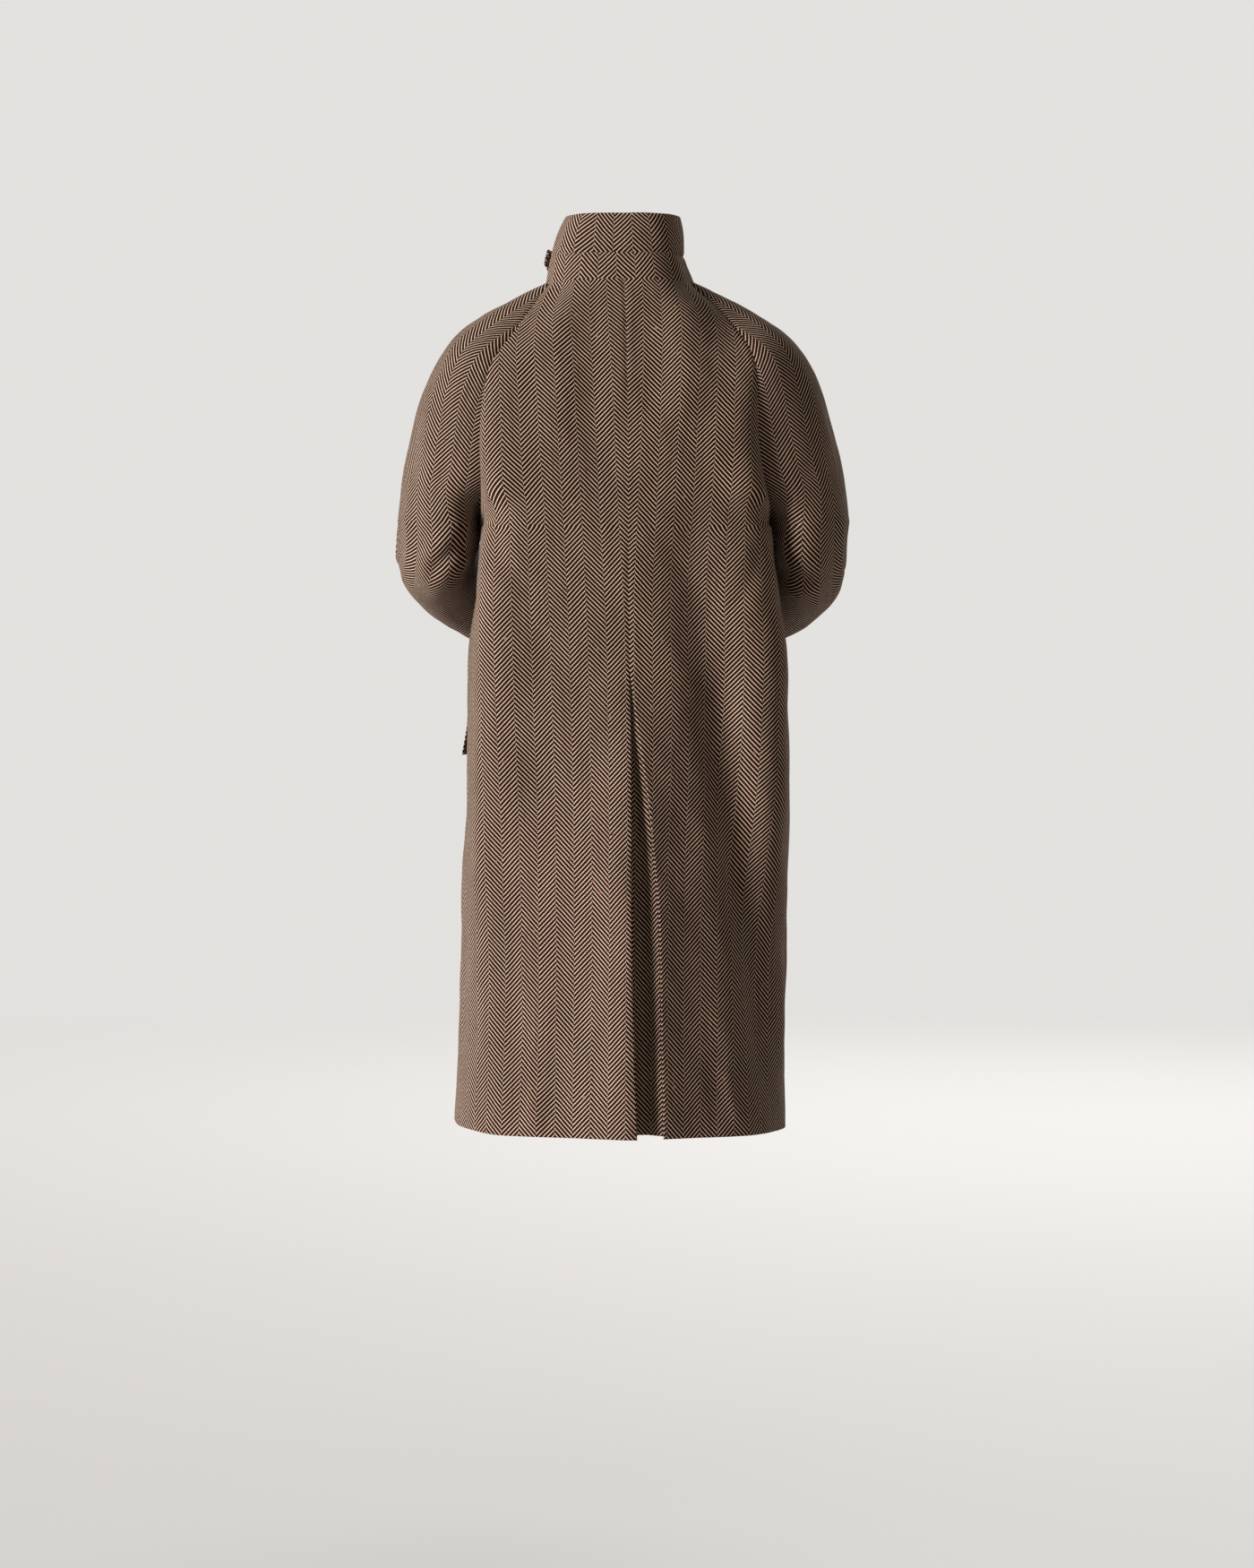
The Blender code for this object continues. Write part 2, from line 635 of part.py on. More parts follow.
def turned_button(name, radius, height, place, normal):
    """Button turned from its profile, seated on the cloth."""
    bm = bmesh.new()
    rings = []
    for row in BUTTON:
        ring = []
        for k in range(BUTTON_SIDES):
            angle = 2 * math.pi * k / BUTTON_SIDES
            size = radius * row.radius
            ring.append(bm.verts.new((size * math.cos(angle), size * math.sin(angle), height * row.height)))
        rings.append(ring)
    for low, high in zip(rings, rings[1:]):
        for k in range(BUTTON_SIDES):
            following = (k + 1) % BUTTON_SIDES
            bm.faces.new((low[k], low[following], high[following], high[k]))
    bm.faces.new(rings[0][::-1])
    bm.faces.new(rings[-1])
    mesh = bpy.data.meshes.new(name)
    bm.to_mesh(mesh)
    bm.free()
    made = add_object(name, mesh, HORN, 0.35)
    turn = Vector(normal).to_track_quat("Z", "Y").to_matrix().to_4x4()
    made.matrix_world = Matrix.Translation(Vector(place + normal * LAID_GAP)) @ turn
    return made


def front_place(drop):
    """Point and outward normal on the front centre line."""
    if drop < UNDERARM_DROP:
        drops = [row.front_drop for row in YOKE]
        along = float(np.interp(drop, drops, [row.along for row in YOKE]))
        rings = [yoke_ring(along - 0.02), yoke_ring(along), yoke_ring(along + 0.02)]
    else:
        rings = [body_ring(drop - 0.01), body_ring(drop), body_ring(drop + 0.01)]
    spans = []
    for ring in rings:
        front = middle_of(ring, "front")
        spans.append((ring, front - 0.005, front + 0.005))
    points, normals = panel(spans, 3)
    return points[1, 1], normals[1, 1]


def build():
    """All sub-parts of the coat."""
    yoke = [(yoke_ring(along), 0.0) for along in yoke_places()]
    body = [(body_ring(drop), drop) for drop in body_places()]
    neck = yoke[0][0]
    grids = body_panels(yoke + body)
    grids["vent_underlap"] = underlap_grid()
    for hand in (1, -1):
        grids.update(sleeve_panels(yoke, hand))
    for name, grid in grids.items():
        shell(name, grid, CLOTH)
    for name, grid in collar_grids(neck).items():
        shell(name, grid, COLLAR_CLOTH)
    tab = tab_grid(neck)
    shell("throat_tab", tab, CLOTH)
    shell("pocket_flap_left", flap_grid(1), CLOTH)
    shell("pocket_flap_right", flap_grid(-1), CLOTH)
    for number, drop in enumerate(BUTTON_DROPS, 1):
        place, normal = front_place(drop)
        turned_button(f"button_{number}", BUTTON_RADIUS, BUTTON_HEIGHT, place, normal)
    column = int(round((1 - TAB_BUTTON_PLACE / TAB_LENGTH) * 15))
    place, normal = tab[0][2, column], tab[1][2, column]
    turned_button("throat_button", TAB_BUTTON_RADIUS, BUTTON_HEIGHT, place, normal)


for old in list(bpy.data.objects):
    bpy.data.objects.remove(old)
build()
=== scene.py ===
"""Raglan coat in herringbone tweed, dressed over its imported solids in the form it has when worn."""

import math
from collections import namedtuple

import bmesh
import bpy
import numpy as np
from mathutils import Matrix, Vector


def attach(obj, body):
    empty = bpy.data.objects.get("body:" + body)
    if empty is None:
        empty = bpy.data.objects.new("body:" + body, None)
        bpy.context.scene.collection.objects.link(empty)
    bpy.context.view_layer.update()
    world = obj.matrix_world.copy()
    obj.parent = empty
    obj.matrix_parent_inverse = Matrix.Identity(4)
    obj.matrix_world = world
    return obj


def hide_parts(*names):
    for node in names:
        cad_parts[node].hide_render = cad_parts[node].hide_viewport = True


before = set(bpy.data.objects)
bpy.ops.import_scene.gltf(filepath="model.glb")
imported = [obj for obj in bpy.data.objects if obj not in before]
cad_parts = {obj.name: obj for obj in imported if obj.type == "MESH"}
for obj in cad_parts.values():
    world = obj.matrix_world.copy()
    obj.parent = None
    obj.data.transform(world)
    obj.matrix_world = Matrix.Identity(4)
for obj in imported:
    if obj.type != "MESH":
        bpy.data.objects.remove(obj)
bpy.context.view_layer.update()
STEP = 0.004

# Driving sizes in metres. The origin is the middle of the neck at the back neck seam.
# +Z is up, the front faces -Y and the wearer's left is +X. Drops are measured down.
CLOTH = 0.0025
COLLAR_CLOTH = 0.0035
SEAM_TRIM = 0.00004
LAID_GAP = 0.0005
UNDERARM_DROP = 0.335
HEM_DROP = 1.153
VENT_TOP = 0.53
FRONT_LAP = 0.045
LAP_TUCK = 0.030
UNDERLAP_REACH = 0.045
UNDERLAP_FALL = 0.010
UNDERLAP_TUCK = 0.004
UNDERLAP_SHORT = 0.004
UNDERLAP_EDGE_CLEAR = 0.001
UNDERLAP_RISE = 0.3
LAP_EASES = (0.004, 0.030)
ROUND_CENTRE = 0.68
ROUND_SPAN = 0.58
SLEEVE_FILL = {1: 0.03, -1: 0.0}
SLEEVE_LEAN = {1: 0.008, -1: 0.010}
HEM_TILT = 0.014
HEM_LIFT = 0.004
HEM_TILTS_FROM = 0.70
HEM_LIFTS = (0.17, 0.23)
CENTRE_SWAY = 0.35
FOLD_CLEAR = 0.050

# Distance from a centre line to the line that the weave is counted from, outside the panel
GRAIN_ASIDE = 0.100

# How rows and rings are drawn: points in half a curve, limits, and the shares between which a form comes in
CURVE_POINTS = 97
NARROWEST = 0.25
STEEPEST = 0.05
SEAM_LEVEL = 0.3
YOKE_SETTLES = (0.30, 0.85)
ARM_STEP = 0.02
ARM_RAISES = (0.10, 0.60)
ARM_SLIMS = (0.02, 0.32)
ARM_PARTS = (0.00, 0.20)

# Centre lines of back and front
Centre = namedtuple("Centre", "drop back front")
CENTRES = (
    Centre(0.000, 0.080, -0.060),
    Centre(0.070, 0.106, -0.088),
    Centre(0.125, 0.122, -0.112),
    Centre(0.195, 0.135, -0.132),
    Centre(0.285, 0.145, -0.147),
    Centre(0.400, 0.151, -0.157),
    Centre(0.550, 0.159, -0.164),
    Centre(0.750, 0.166, -0.169),
    Centre(0.950, 0.171, -0.173),
    Centre(1.153, 0.176, -0.177),
)

# Half width of the body, depth of its widest line, how far its middle stands to the left and
# how square its corners are
Body = namedtuple("Body", "drop half_width side_y sway square")
BODY = (
    Body(0.000, 0.101, 0.000, 0.006, 0.66),
    Body(0.080, 0.150, 0.000, 0.002, 0.68),
    Body(0.200, 0.180, 0.000, 0.000, 0.82),
    Body(0.335, 0.1965, 0.000, 0.000, 0.88),
    Body(0.380, 0.1975, 0.000, 0.000, 0.86),
    Body(0.430, 0.2035, 0.000, -0.001, 0.84),
    Body(0.490, 0.215, 0.000, -0.004, 0.80),
    Body(0.600, 0.220, 0.000, -0.006, 0.73),
    Body(0.720, 0.222, 0.002, -0.006, 0.70),
    Body(0.800, 0.223, 0.004, -0.003, 0.70),
    Body(0.920, 0.223, 0.006, 0.000, 0.70),
    Body(1.040, 0.224, 0.006, 0.002, 0.70),
    Body(1.153, 0.227, 0.006, 0.005, 0.70),
)

# Shoulder rings from neck (along 0) to underarm (along 1). Over is the top of the ring, seam
# the middle between its two raglan seams, skew how the front seam differs from the back one,
# turn how many degrees the ring goes past half round, lean how far both seams stand to the left.
Yoke = namedtuple(
    "Yoke",
    "along over_x over_drop seam_x seam_drop skew_x skew_drop depth turn lean back_drop front_drop",
)
YOKE = (
    Yoke(0.00, 0.101, 0.000, 0.0975, 0.006, -0.004, 0.009, 0.0310, -40, 0.000, 0.000, 0.070),
    Yoke(0.15, 0.146, 0.023, 0.1215, 0.0440, -0.012, 0.018, 0.0620, -33, -0.004, 0.035, 0.093),
    Yoke(0.30, 0.195, 0.050, 0.1465, 0.084, -0.017, 0.023, 0.0875, -24, -0.004, 0.078, 0.125),
    Yoke(0.50, 0.245, 0.096, 0.1715, 0.1325, -0.017, 0.021, 0.1036, -6, 0.004, 0.132, 0.168),
    Yoke(0.65, 0.274, 0.152, 0.181, 0.180, -0.010, 0.016, 0.1020, -1, 0.009, 0.185, 0.207),
    Yoke(0.80, 0.292, 0.215, 0.188, 0.235, -0.002, 0.010, 0.0985, 6, 0.009, 0.238, 0.250),
    Yoke(0.90, 0.302, 0.262, 0.192, 0.280, 0.001, 0.004, 0.0990, 20, 0.005, 0.282, 0.288),
    Yoke(1.00, 0.310, 0.325, 0.1965, 0.335, 0.000, 0.000, 0.0970, 90, 0.000, 0.335, 0.335),
)

# Back and front lines of the sleeve below the underarm, with the half width of its ring
Arm = namedtuple("Arm", "along back_x back_y back_drop front_x front_y front_drop half_width")
ARM = (
    Arm(0.00, 0.2500, 0.097, 0.330, 0.2580, -0.097, 0.330, 0.0568),
    Arm(0.12, 0.2465, 0.089, 0.366, 0.2660, -0.106, 0.3335, 0.0540),
    Arm(0.25, 0.2455, 0.067, 0.402, 0.2695, -0.115, 0.334, 0.0530),
    Arm(0.38, 0.2475, 0.026, 0.430, 0.2655, -0.123, 0.335, 0.0528),
    Arm(0.50, 0.2480, -0.028, 0.448, 0.2550, -0.132, 0.337, 0.0528),
    Arm(0.62, 0.2435, -0.080, 0.462, 0.2415, -0.146, 0.341, 0.052),
    Arm(0.80, 0.2125, -0.158, 0.486, 0.211, -0.202, 0.363, 0.052),
    Arm(1.00, 0.160, -0.2375, 0.5105, 0.158, -0.2785, 0.3935, 0.053),
)

# How far each arm is held up at the cuff, left then right
ARM_RAISE = {1: 0.010, -1: -0.004}

# Centre vent: where the upper edge and the under fold stand across the back, and its depth
Vent = namedtuple("Vent", "drop edge ridge depth")
VENT = (
    Vent(0.53, 0.000, 0.0000, 0.004),
    Vent(0.60, -0.001, -0.0080, 0.008),
    Vent(0.70, -0.001, -0.0230, 0.016),
    Vent(0.82, -0.002, -0.0380, 0.022),
    Vent(0.94, -0.004, -0.0445, 0.025),
    Vent(1.04, -0.007, -0.0470, 0.026),
    Vent(1.153, -0.012, -0.0505, 0.027),
)

# Soft folds. Across is measured along the cloth from the centre line to the wearer's left.
Fold = namedtuple("Fold", "across drop lean reach width depth")
BACK_FOLDS = (
    Fold(0.000, 1.02, -0.015, 0.40, 0.070, 0.022),
    Fold(0.004, 0.95, -0.020, 0.34, 0.030, 0.012),
    Fold(0.165, 0.88, -0.080, 0.24, 0.024, -0.004),
    Fold(0.200, 0.98, -0.060, 0.24, 0.030, 0.004),
    Fold(-0.150, 0.74, -0.190, 0.38, 0.039, -0.017),
    Fold(-0.196, 0.53, -0.020, 0.27, 0.044, 0.024),
    Fold(0.190, 0.57, 0.020, 0.28, 0.044, 0.024),
    Fold(-0.105, 0.33, -0.050, 0.16, 0.035, -0.004),
)
FRONT_FOLDS = (
    Fold(0.120, 0.95, 0.16, 0.26, 0.035, -0.010),
    Fold(-0.125, 0.92, -0.18, 0.26, 0.035, -0.010),
    Fold(0.190, 1.02, 0.10, 0.22, 0.035, 0.008),
    Fold(-0.190, 1.04, -0.10, 0.22, 0.035, 0.008),
    Fold(0.130, 0.40, -0.05, 0.20, 0.040, -0.004),
    Fold(-0.130, 0.42, 0.05, 0.20, 0.040, -0.004),
)

# Collar rings above the neck seam: half widths and depths of the stand's top and the fall's top
Collar = namedtuple("Collar", "level left right back front rise_back rise_front")
COLLAR = (
    Collar(1, 0.095, 0.088, 0.074, 0.082, 0.036, 0.038),
    Collar(2, 0.073, 0.083, 0.063, 0.076, 0.091, 0.112),
)
COLLAR_FORWARD = 1.5
STAND_LOW = 0.002
COLLAR_SEAM = 0.0005
COLLAR_END = 0.003
FALL_END_LOW = 0.006
FALL_END_HIGH = 0.030
FALL_BOW = 0.003

# Throat tab, measured round the collar from its left front end
TAB_START = 0.022
TAB_LENGTH = 0.143
TAB_HALF_HEIGHT = 0.018
TAB_END_HALF_HEIGHT = 0.010
TAB_LIFT = 0.0025
TAB_LOOSE = 0.045
TAB_END_SWELL = 0.0025
TAB_SWELLS = (0.002, 0.016)
TAB_TIP = 0.030

# Hip pocket flaps, measured across from the front centre line
FLAP_TOP_DROP = 0.588
FLAP_HEIGHT = 0.058
FLAP_SEAT = 0.0012
FLAP_INNER = 0.112
FLAP_OUTER = 0.278
FLAP_FLARES = {1: 0.0065, -1: 0.002}
FLAP_STANDS_OFF = (0.1, 1.3)
FLAP_EVEN = 0.25
FLAP_HIND = 1.35

# Sizes and places of the buttons
BUTTON_RADIUS = 0.0140
BUTTON_HEIGHT = 0.0050
BUTTON_DROPS = (0.125, 0.265, 0.405, 0.545)
TAB_BUTTON_RADIUS = 0.0110
TAB_BUTTON_PLACE = 0.080

# How finely the cloth is built, and how close its points stand at an edge
EDGE_PLACES = (0.0, 0.0007, 0.0016, 0.0028, 0.0044)
EDGE_CLEAR = 0.0068
BODY_SPAN = 0.330
SLEEVE_SPAN = 0.230
YOKE_SPAN = 0.400
ARM_SPAN = 0.440
JOINT_REACH = 0.060
JOINT_CLEAR = 0.040
JOINT_PASSES = 120
JOINT_CORE = 0.3
JOINT_PULL = 0.5
YOKE_CROWD = 1.15
TANGENT_STEP = 0.004
SEAM_REACH = 0.0045
SEAM_DEPTH = 0.0007
SEAM_SWELL = 0.0003
SEAM_SWELL_PLACE = 1.5
EDGE_ROUND = 0.0026
EDGE_FLAT = 0.45
VENT_OPENS = 0.006
CLOTH_CORNER = 48.0

# Where the raglan seams lie in a deep groove: the drops at which it comes and goes, its reach across
# and how near to it creases are held
GROOVE_COMES = (0.13, 0.19)
GROOVE_GOES = (0.345, 0.375)
GROOVE_ACROSS = (0.225, 0.240)
GROOVE_HOLD = 0.025

# Herringbone: width of a column of the weave, threads in it and height of four picks
COLUMN = 0.025
COLUMN_THREADS = 16
TWILL_PITCH = 0.0065
TWILL_PICKS = 4
SLEEVE_GRAIN = 4 * COLUMN

# Rows and columns of the net on which the lie of the weave is worked out
WEAVE_ROWS = 36
WEAVE_COLUMNS = 15
BEND_HOLD = 12.0

Grid = namedtuple("Grid", "points normals across down")

# Where the first point of the weave stands from the centre back seam, which is cut off the grain
Drift = namedtuple("Drift", "drop back")
DRIFTS = (
    Drift(0.00, 0.0260),
    Drift(0.29, 0.0145),
    Drift(0.46, 0.0065),
    Drift(0.60, 0.0055),
    Drift(1.16, 0.0055),
)

# Creases by the face that they are on. Across is X for back and front and Y for the other faces;
# bow is how far the middle stands off the straight line between its ends.
Crease = namedtuple("Crease", "from_across from_drop to_across to_drop bow width depth")
CREASES = {
    "back": (
        Crease(0.121, 1.085, 0.126, 1.150, 0.003, 0.011, 0.0030),
        Crease(0.100, 1.020, 0.093, 1.150, -0.004, 0.016, -0.0022),
        Crease(-0.098, 0.955, -0.148, 1.110, -0.010, 0.013, 0.0014),
        Crease(-0.130, 1.045, -0.155, 1.150, 0.004, 0.008, 0.0012),
        Crease(-0.112, 1.030, -0.122, 1.150, 0.003, 0.010, -0.0012),
        Crease(0.094, -0.020, 0.092, 0.280, 0.003, 0.024, 0.0028),
        Crease(0.042, -0.010, 0.040, 0.260, 0.003, 0.022, -0.0016),
        Crease(-0.068, -0.020, -0.080, 0.210, -0.004, 0.026, 0.0030),
        Crease(-0.150, 0.040, -0.120, 0.230, 0.006, 0.030, -0.0036),
        Crease(-0.112, 0.480, -0.164, 0.930, -0.004, 0.024, -0.0042),
        Crease(-0.030, 0.560, -0.052, 1.260, 0.003, 0.030, 0.0036),
        Crease(0.185, 0.350, 0.120, 0.440, 0.006, 0.012, -0.0018),
        Crease(-0.188, 0.345, -0.130, 0.470, -0.006, 0.012, -0.0020),
        Crease(0.198, 0.352, 0.276, 0.412, 0.006, 0.010, -0.0052),
        Crease(0.205, 0.322, 0.262, 0.368, 0.006, 0.010, 0.0020),
        Crease(0.226, 0.225, 0.262, 0.330, 0.006, 0.012, -0.0018),
        Crease(0.286, 0.215, 0.276, 0.310, 0.003, 0.012, -0.0016),
        Crease(-0.198, 0.372, -0.278, 0.404, 0.016, 0.010, -0.0052),
        Crease(-0.206, 0.338, -0.262, 0.378, 0.008, 0.010, 0.0020),
        Crease(-0.226, 0.240, -0.256, 0.335, -0.006, 0.013, -0.0020),
    ),
    "inner_left": (
        Crease(-0.085, 0.346, 0.095, 0.362, 0.000, 0.024, 0.0046),
    ),
    "inner_right": (
        Crease(-0.085, 0.346, 0.095, 0.362, 0.000, 0.024, 0.0046),
    ),
    "left": (
        Crease(-0.034, 0.338, -0.110, 0.368, 0.008, 0.013, -0.0046),
        Crease(-0.040, 0.372, -0.112, 0.408, 0.008, 0.012, -0.0044),
        Crease(-0.030, 0.296, -0.112, 0.345, 0.008, 0.013, -0.0050),
        Crease(-0.090, 0.365, -0.150, 0.430, 0.008, 0.012, -0.0042),
        Crease(-0.028, 0.318, -0.096, 0.352, 0.008, 0.010, 0.0022),
        Crease(0.006, 0.330, -0.050, 0.402, 0.012, 0.014, -0.0030),
        Crease(0.020, 0.150, 0.040, 0.260, 0.006, 0.016, -0.0020),
        Crease(0.030, 0.760, 0.050, 1.130, 0.006, 0.018, -0.0034),
        Crease(-0.060, 0.820, -0.045, 1.150, -0.006, 0.016, 0.0030),
    ),
    "right": (
        Crease(-0.030, 0.340, -0.112, 0.376, 0.010, 0.012, -0.0044),
        Crease(-0.044, 0.380, -0.114, 0.418, 0.008, 0.013, -0.0046),
        Crease(-0.036, 0.294, -0.116, 0.352, 0.010, 0.014, -0.0052),
        Crease(-0.095, 0.372, -0.155, 0.440, 0.008, 0.012, -0.0040),
        Crease(-0.030, 0.318, -0.100, 0.358, 0.010, 0.010, 0.0020),
        Crease(0.010, 0.322, -0.044, 0.398, 0.010, 0.013, -0.0032),
        Crease(0.030, 0.160, 0.035, 0.275, -0.005, 0.016, -0.0020),
        Crease(0.045, 0.740, 0.035, 1.140, -0.006, 0.017, -0.0034),
        Crease(-0.050, 0.850, -0.060, 1.150, 0.006, 0.016, 0.0030),
    ),
    "front": (
        Crease(0.075, 0.150, 0.150, 0.310, 0.012, 0.014, -0.0028),
        Crease(0.120, 0.250, 0.180, 0.345, 0.006, 0.010, -0.0030),
        Crease(-0.080, 0.160, -0.155, 0.315, -0.010, 0.014, -0.0026),
        Crease(-0.115, 0.265, -0.182, 0.345, 0.008, 0.010, -0.0030),
        Crease(0.030, 0.420, 0.110, 0.520, 0.008, 0.013, -0.0020),
        Crease(-0.050, 0.440, -0.125, 0.540, 0.008, 0.013, -0.0020),
        Crease(0.080, 0.720, 0.115, 1.140, 0.010, 0.018, -0.0036),
        Crease(-0.085, 0.760, -0.105, 1.150, -0.008, 0.017, -0.0034),
        Crease(0.140, 0.860, 0.160, 1.150, 0.006, 0.015, 0.0030),
        Crease(-0.150, 0.820, -0.165, 1.150, -0.006, 0.015, 0.0030),
        Crease(0.215, 0.240, 0.290, 0.330, 0.010, 0.011, -0.0032),
        Crease(-0.215, 0.235, -0.290, 0.330, 0.010, 0.011, -0.0032),
        Crease(0.225, 0.300, 0.285, 0.345, 0.008, 0.009, -0.0036),
        Crease(-0.222, 0.305, -0.285, 0.352, 0.008, 0.009, -0.0034),
    ),
}
# Direction that each face looks in, and whether it looks away from the middle (1) or towards it (-1)
FACES = {
    "back": ((0, 1, 0), 0),
    "front": ((0, -1, 0), 0),
    "left": ((1, 0, 0), 1),
    "right": ((-1, 0, 0), 1),
    "inner_left": ((-1, 0, 0), -1),
    "inner_right": ((1, 0, 0), -1),
}

# How squarely cloth faces that way to take a crease, how a crease ends, and the low rims beside it
CREASE_FACES = (0.05, 0.45)
CREASE_TAPER = 0.3
CREASE_RIM = 0.35
CREASE_RIM_PLACE = 1.9

# Uneven hand of the cloth: wave lengths along X, Y and Z, phase and height
Wave = namedtuple("Wave", "x y z phase height")
WAVES = (
    Wave(0.170, 0.210, 0.260, 0.4, 0.00060),
    Wave(-0.120, 0.150, 0.190, 1.9, 0.00045),
    Wave(0.085, -0.110, 0.140, 3.1, 0.00035),
    Wave(-0.064, -0.072, 0.095, 4.6, 0.00022),
    Wave(0.045, 0.052, -0.060, 0.9, 0.00014),
    Wave(0.031, -0.036, 0.043, 2.3, 0.00009),
)

# Weave offsets from the grain line of each piece
FRONT_DRIFT = GRAIN_ASIDE + 0.0125
SLEEVE_DRIFT = 0.0060
STAND_DRIFT = 0.0060
FALL_DRIFT = -0.0150

# Turned-up hem, facings of vent and front, and corded buttonholes
HEM_TURN = 0.045
VENT_FACING = 0.060
FACING = 0.085
BUTTONHOLE_LENGTH = 0.031
BUTTONHOLE_WIDTH = 0.0022
BUTTONHOLE_CORD = 0.0009
BUTTONHOLE_OVER = 0.004
BUTTONHOLE_SEAT = 0.4
BUTTONHOLE_POINTS = 48

# Strip of the front round a button, from the centre line, and the rows above and below that give its slope
STRIP_START = -0.06
STRIP_WIDTH = 0.10
STRIP_ALONG = 0.02
STRIP_DROP = 0.01
BUTTON_SEAT = 0.002

# Buttons as they show, in parts of their radius and height
BUTTON_PROFILE = (
    (0.70, 0.00),
    (0.88, 0.10),
    (0.97, 0.30),
    (1.00, 0.55),
    (0.98, 0.78),
    (0.93, 0.93),
    (0.86, 1.00),
    (0.79, 0.97),
    (0.73, 0.88),
    (0.69, 0.78),
    (0.60, 0.74),
    (0.30, 0.72),
    (0.08, 0.72),
)
BUTTON_DISH = 0.72
BUTTON_HOLE_PLACE = 0.17
BUTTON_HOLE_RADIUS = 0.095
BUTTON_SIDES = 64
BUTTON_HOLE_SIDES = 20
TURNED_CORNER = 40.0

# Stitches over a button: rise and sunk ends in parts of its height, threads in parts of its radius
STITCH_RISE = 0.16
STITCH_SINK = 0.25
STITCH_SUNK_FROM = 0.97
STITCH_POINTS = 13
STITCH_PITCH = 0.075
STITCH_THREAD = 0.055
STITCH_SECOND_THREAD = 0.050

# Sides of a round thread, and a direction that no thread runs in
TUBE_SIDES = 10
TUBE_ASIDE = (0.31, 0.17, 0.93)

# Stage, light and camera; pixels are those of a picture 1400 wide and 1750 high
FLOOR_LEVEL = -1.640
FLOOR_RADIUS = 9.0
FLOOR_SIDES = 128
FLOOR_FADES = (0.25, 0.95)
AMBIENT = 0.42
SUN_ASIDE = 62.0
SUN_RISE = 8.0
SUN_SOFTNESS = 26.0
SUN_POWER = 6.15
FILL_PLACE = (-2.2, -6.0, 2.2)
FILL_TARGET = (0.0, 0.0, -0.5)
FILL_SIZE = 5.0
FILL_POWER = 260.0
IMAGE_HEIGHT = 1750
SENSOR = 36.0
CAMERA_FOCAL = 4466.0
CAMERA_LEVEL = 748.7
CAMERA_YAW = 2.5
CAMERA_DISTANCE = 5.5
CAMERA_ASIDE = 0.0049
CAMERA_HEIGHT = -0.53

# Tweed: how its yarns stray (noise scale, reach), the break between columns, how wide the pale yarn
# shows, its flecks, how much each fibre and patch of cloth differs in tone, and how deep the painted shade
# between threads is
STRAYS = ((70.0, 0.0008), (900.0, 0.0004))
COLUMN_BREAK = 1.6
PALE_BAND = (0.54, 0.89)
FIBRE_SCALE = 1900.0
TONE_SCALE = 7.0
END_RUN = 0.02
PICK_RUN = 0.03
FLECKS_ACROSS = 330.0
FLECKS_DOWN = 260.0
RED_FLECKS = (0.9993, 0.9994)
OCHRE_FLECKS = (0.0005, 0.0006)
FIBRE_LIGHT = (0.70, 0.65)
THREAD_PAINTED_SHADE = (0.26, 0.82)
TONE_LIGHT = (0.93, 1.07)

# Pitch of the lining's twill, and scales of the noise in horn and thread
LINING_TWILL = 0.0011
HORN_STRETCH = (1.0, 3.2, 1.0)
HORN_STREAKS = 95.0
HORN_GRAIN = 900.0
HORN_BAND = (0.38, 0.66)
THREAD_FIBRE = 1400.0

# Colours
PALE_YARN = (0.555, 0.414, 0.325, 1.0)
PALE_YARN_WARM = (0.466, 0.330, 0.248, 1.0)
DARK_YARN = (0.0120, 0.0040, 0.0016, 1.0)
DARK_YARN_RED = (0.0190, 0.0060, 0.0026, 1.0)
FLECK_RED = (0.150, 0.034, 0.024, 1.0)
FLECK_OCHRE = (0.240, 0.150, 0.055, 1.0)
LINING_DARK = (0.030, 0.018, 0.014, 1.0)
LINING_LIGHT = (0.052, 0.032, 0.024, 1.0)
HORN_DARK = (0.018, 0.009, 0.005, 1.0)
HORN_LIGHT = (0.110, 0.055, 0.024, 1.0)
THREAD_DARK = (0.028, 0.018, 0.014, 1.0)
THREAD_LIGHT = (0.060, 0.040, 0.030, 1.0)
FLOOR_PALE = (0.500, 0.487, 0.473, 1.0)
FLOOR_WORN = (0.488, 0.475, 0.462, 1.0)
FLOOR_GLOW = (0.268, 0.270, 0.284, 1.0)
BACKGROUND = (0.770, 0.757, 0.738, 1.0)
AMBIENT_TINT = (0.810, 0.755, 0.630, 1.0)

Ring = namedtuple("Ring", "points lengths marks")


def through(places, rows, at):
    """Smooth curves through rows of values at some places, read at others."""
    step = np.diff(places)[:, None]
    slope = np.diff(rows, axis=0) / step
    inner = (slope[1:] * step[:-1] + slope[:-1] * step[1:]) / (step[1:] + step[:-1])
    tangent = np.vstack([slope[:1], inner, slope[-1:]])
    at = np.clip(np.atleast_1d(at), places[0], places[-1])
    i = np.clip(np.searchsorted(places, at) - 1, 0, len(places) - 2)
    width = step[i]
    t = (at - places[i])[:, None] / width
    return (
        rows[i] * (2 * t**3 - 3 * t**2 + 1)
        + rows[i + 1] * (3 * t**2 - 2 * t**3)
        + tangent[i] * width * (t**3 - 2 * t**2 + t)
        + tangent[i + 1] * width * (t**3 - t**2)
    )


def row_at(table, at):
    """A table's row at one place, on smooth curves through its columns."""
    rows = np.array(table, dtype=float)
    return type(table[0])(*through(rows[:, 0], rows, at)[0])


def ease(low, high, value):
    """Soft step from 0 at low to 1 at high."""
    t = np.clip((value - low) / (high - low), 0, 1)
    return t * t * (3 - 2 * t)


def unit(vectors):
    """Vectors of length one."""
    return vectors / np.maximum(np.linalg.norm(vectors, axis=-1, keepdims=True), 1e-12)


